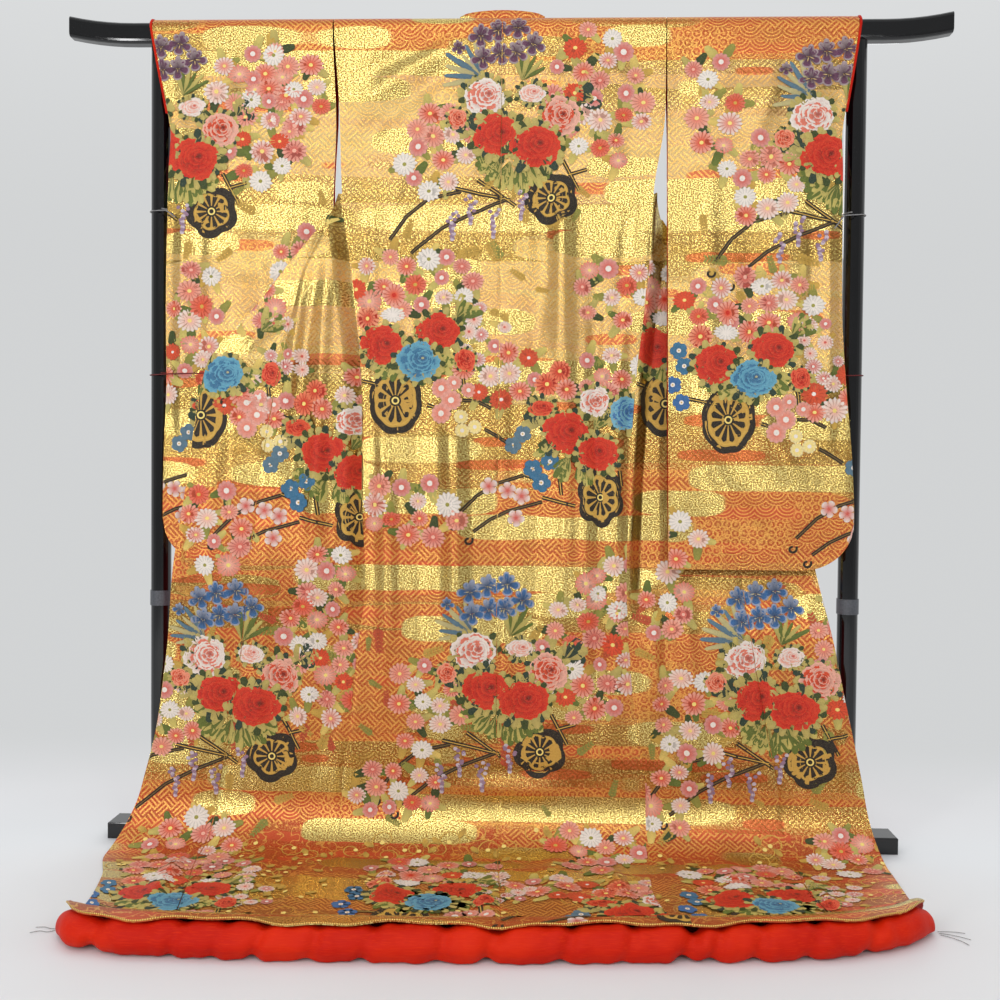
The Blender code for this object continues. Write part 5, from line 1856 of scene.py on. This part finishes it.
def build_hem_edge():
    """Gold piping along the woven cloth's wavy hem, held by couching stitches."""
    route = hem_route()
    piping = tube("hem_piping", [Vector(p) for p in route], PIPING_RADIUS, FINISH["gold_cord"])
    data = bpy.data.meshes.new("hem_line")
    data.from_pydata([tuple(p) for p in route], [(k, k + 1) for k in range(len(route) - 1)], [])
    line = bpy.data.objects.new("hem_line", data)
    bpy.context.scene.collection.objects.link(line)
    tree, sockets = stitch_tree()
    modifier = line.modifiers.new("couching", "NODES")
    modifier.node_group = tree
    modifier[sockets["Spacing"]] = 0.0085
    modifier[sockets["Stitch radius"]] = 0.0018
    modifier[sockets["Stitch width"]] = 0.0012
    modifier[sockets["Unevenness"]] = 0.3
    modifier[sockets["Seed"]] = 7
    modifier[sockets["Thread"]] = FINISH["gold_cord"]
    bpy.context.view_layer.update()
    seen = line.evaluated_get(bpy.context.evaluated_depsgraph_get())
    plain = bpy.data.meshes.new_from_object(seen)
    stitches = bpy.data.objects.new("hem_couching_stitches", plain)
    bpy.context.scene.collection.objects.link(stitches)
    bpy.data.objects.remove(line)
    return [piping, stitches]


THREAD_RADIUS = 0.0005
THREAD_WAYS = {
    "hem_thread_left_1": ("left", 0.000, ((-0.010, -0.006), (-0.022, -0.003), (-0.034, -0.010))),
    "hem_thread_left_2": ("left", 0.006, ((-0.010, 0.001), (-0.022, 0.006), (-0.034, 0.004))),
    "hem_thread_right_1": ("right", 0.000, ((0.012, -0.008), (0.024, -0.022), (0.030, -0.036))),
    "hem_thread_right_2": ("right", 0.006, ((0.014, -0.004), (0.028, -0.012), (0.040, -0.022))),
    "hem_thread_right_3": ("right", 0.012, ((0.014, 0.001), (0.028, 0.000), (0.040, -0.004))),
}


def build_threads():
    """Loose ends of the tacking thread, lying on the floor at both corners of the hem."""
    starts = {
        "left": Vector((float(seam_x("edge_left", CLOTH_LENGTH)) - ROLL_OVERHANG - 0.001, BAR_Y - 0.462,
                        0.001)),
        "right": Vector((float(seam_x("edge_right", CLOTH_LENGTH)) + ROLL_OVERHANG + 0.001, BAR_Y - 0.400,
                         0.001)),
    }
    made = {}
    for node, (side, along, ways) in THREAD_WAYS.items():
        start = starts[side] + Vector((0, along, 0))
        route = smooth_route([start] + [start + Vector((x, y, 0)) for x, y in ways], 16)
        made[node] = (tube(f"{node}_cord", route, THREAD_RADIUS, FINISH["grey_cord"]), route)
    return made


def give_finish(node, finish):
    for place in frame["nodes"][node].material_slots:
        place.material = finish


def dress_nodes():
    for node in frame["nodes"]:
        if node.startswith("post_joint"):
            give_finish(node, FINISH["joint"])
        elif node.startswith(("top_bar", "post_", "foot_", "base_")):
            give_finish(node, FINISH["lacquer"])
        elif node.startswith("sleeve_tie"):
            give_finish(node, FINISH["grey_cord"])
        elif node.startswith("body_tie"):
            give_finish(node, FINISH["red_cord"])
        elif node.startswith("cuff_piping"):
            give_finish(node, FINISH["red_silk"])
        elif node.startswith("collar"):
            give_finish(node, FINISH["collar"])


# ---------------------------------------------------------------- studio

def add_camera():
    turn, dip, roll = CAMERA_TURN, CAMERA_DIP, CAMERA_ROLL
    ahead = Vector((-math.sin(turn) * math.cos(dip), math.cos(turn) * math.cos(dip), -math.sin(dip)))
    level_right = Vector((math.cos(turn), math.sin(turn), 0))
    level_up = level_right.cross(ahead)
    right = level_right * math.cos(roll) - level_up * math.sin(roll)
    up = level_up * math.cos(roll) + level_right * math.sin(roll)
    data = bpy.data.cameras.new("camera")
    data.lens = CAMERA_LENS
    data.sensor_width = 36
    camera = bpy.data.objects.new("camera", data)
    turned = Matrix((right, up, -ahead)).transposed().to_4x4()
    camera.matrix_world = Matrix.Translation(CAMERA_PLACE) @ turned
    bpy.context.scene.collection.objects.link(camera)
    bpy.context.scene.camera = camera


def add_light(name, place, aim, size, power, colour=(1, 1, 1)):
    data = bpy.data.lights.new(name, "AREA")
    data.shape = "RECTANGLE"
    data.size, data.size_y = size
    data.energy = power
    data.color = colour
    obj = bpy.data.objects.new(name, data)
    obj.location = place
    obj.rotation_euler = (Vector(aim) - Vector(place)).to_track_quat("-Z", "Y").to_euler()
    obj.visible_camera = False
    bpy.context.scene.collection.objects.link(obj)


ROOM_BACK = 0.66
ROOM_FRONT = 0.36


ROOM_TINT = rgb(252, 254, 255)


def room_light(y):
    """The room's light level by direction: paler behind the stand than in front of it."""
    return ROOM_FRONT + between(y, -0.75, 0.15) * (ROOM_BACK - ROOM_FRONT)


def sweep_finish():
    """Pale floor that turns softly, behind the stand and far off, into an emission at the room's own pale
    light level: painted light, a floor that glows though it is no lamp.
    """
    made, shader, tree = finish_of("pale_floor_sweep")
    place = texture_place(tree)
    x = place.add("ShaderNodeSeparateXYZ", [place], out=0)
    y = place.add("ShaderNodeSeparateXYZ", [place], out=1)
    far = (x * x + y * y).sum("SQRT")
    tone = noise(place, 3.0, 3.0)
    link(tree, shader, "Base Color", blend(tone, rgb(216, 217, 219), rgb(224, 225, 227)))
    link(tree, shader, "Roughness", 0.6 + noise(place, 12.0) * 0.15)
    glow = tree.nodes.new("ShaderNodeEmission")
    level = room_light(y / (far + 0.001))
    link(tree, glow, "Color", blend(level, rgb(0, 0, 0), ROOM_TINT))
    away = between(far, 1.2, 7.0).sum("MAXIMUM", between(y, 0.30, 1.05))
    joined = tree.nodes.new("ShaderNodeMixShader")
    link(tree, joined, "Fac", away)
    tree.links.new(shader.outputs[0], joined.inputs[1])
    tree.links.new(glow.outputs[0], joined.inputs[2])
    output = next(node for node in tree.nodes if node.type == "OUTPUT_MATERIAL")
    tree.links.new(joined.outputs[0], output.inputs["Surface"])
    return made


def build_studio():
    reach = 24.0
    corners = [(-reach, -reach, FLOOR_Z), (reach, -reach, FLOOR_Z), (reach, reach, FLOOR_Z),
               (-reach, reach, FLOOR_Z)]
    ground = mesh_object("studio_floor", corners, [(0, 1, 2, 3)], [sweep_finish()])
    world = bpy.data.worlds.new("studio")
    bpy.context.scene.world = world
    world.use_nodes = True
    tree = world.node_tree
    background = tree.nodes["Background"]
    towards = Socket(tree.nodes.new("ShaderNodeTexCoord").outputs["Generated"])
    y = towards.add("ShaderNodeSeparateXYZ", [towards], out=1)
    z = towards.add("ShaderNodeSeparateXYZ", [towards], out=2)
    background.inputs["Color"].default_value = (*ROOM_TINT, 1)
    link(tree, background, "Strength", room_light(y) + between(z, 0.15, 0.9) * 0.35)
    add_light("overhead", (-0.2, -2.3, 3.0), (0, 0, 0.8), (1.8, 0.7), 15)
    add_light("front_box", (-0.35, -3.4, 1.9), (0, 0, 0.8), (0.7, 0.9), 13)
    add_light("left_strip", (-1.7, -2.6, 1.2), (0, 0, 0.8), (0.20, 2.0), 24)
    add_light("right_strip", (1.3, -3.0, 1.3), (0, 0, 0.8), (0.18, 2.0), 17)
    add_light("back_fill", (0.4, 3.2, 2.4), (0, 0, 0.8), (2.4, 1.6), 24)


def main():
    bpy.context.scene.view_settings.view_transform = "Standard"
    add_camera()
    build_studio()
    threads = build_threads()
    dress_nodes()
    walls = build_cloth()
    figures = build_figures()
    roll = build_hem_roll()
    for piece in build_hem_edge():
        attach(piece, "root")

    for node, (cord, route) in threads.items():
        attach(cord, "root")
        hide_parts(node)
        round(route_length(route), 4)
    for name, wall in walls.items():
        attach(wall, "root")
        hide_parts(name)
        if name in figures:
            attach(figures[name], "root")
    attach(roll, "root")
    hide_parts("hem_roll")


main()
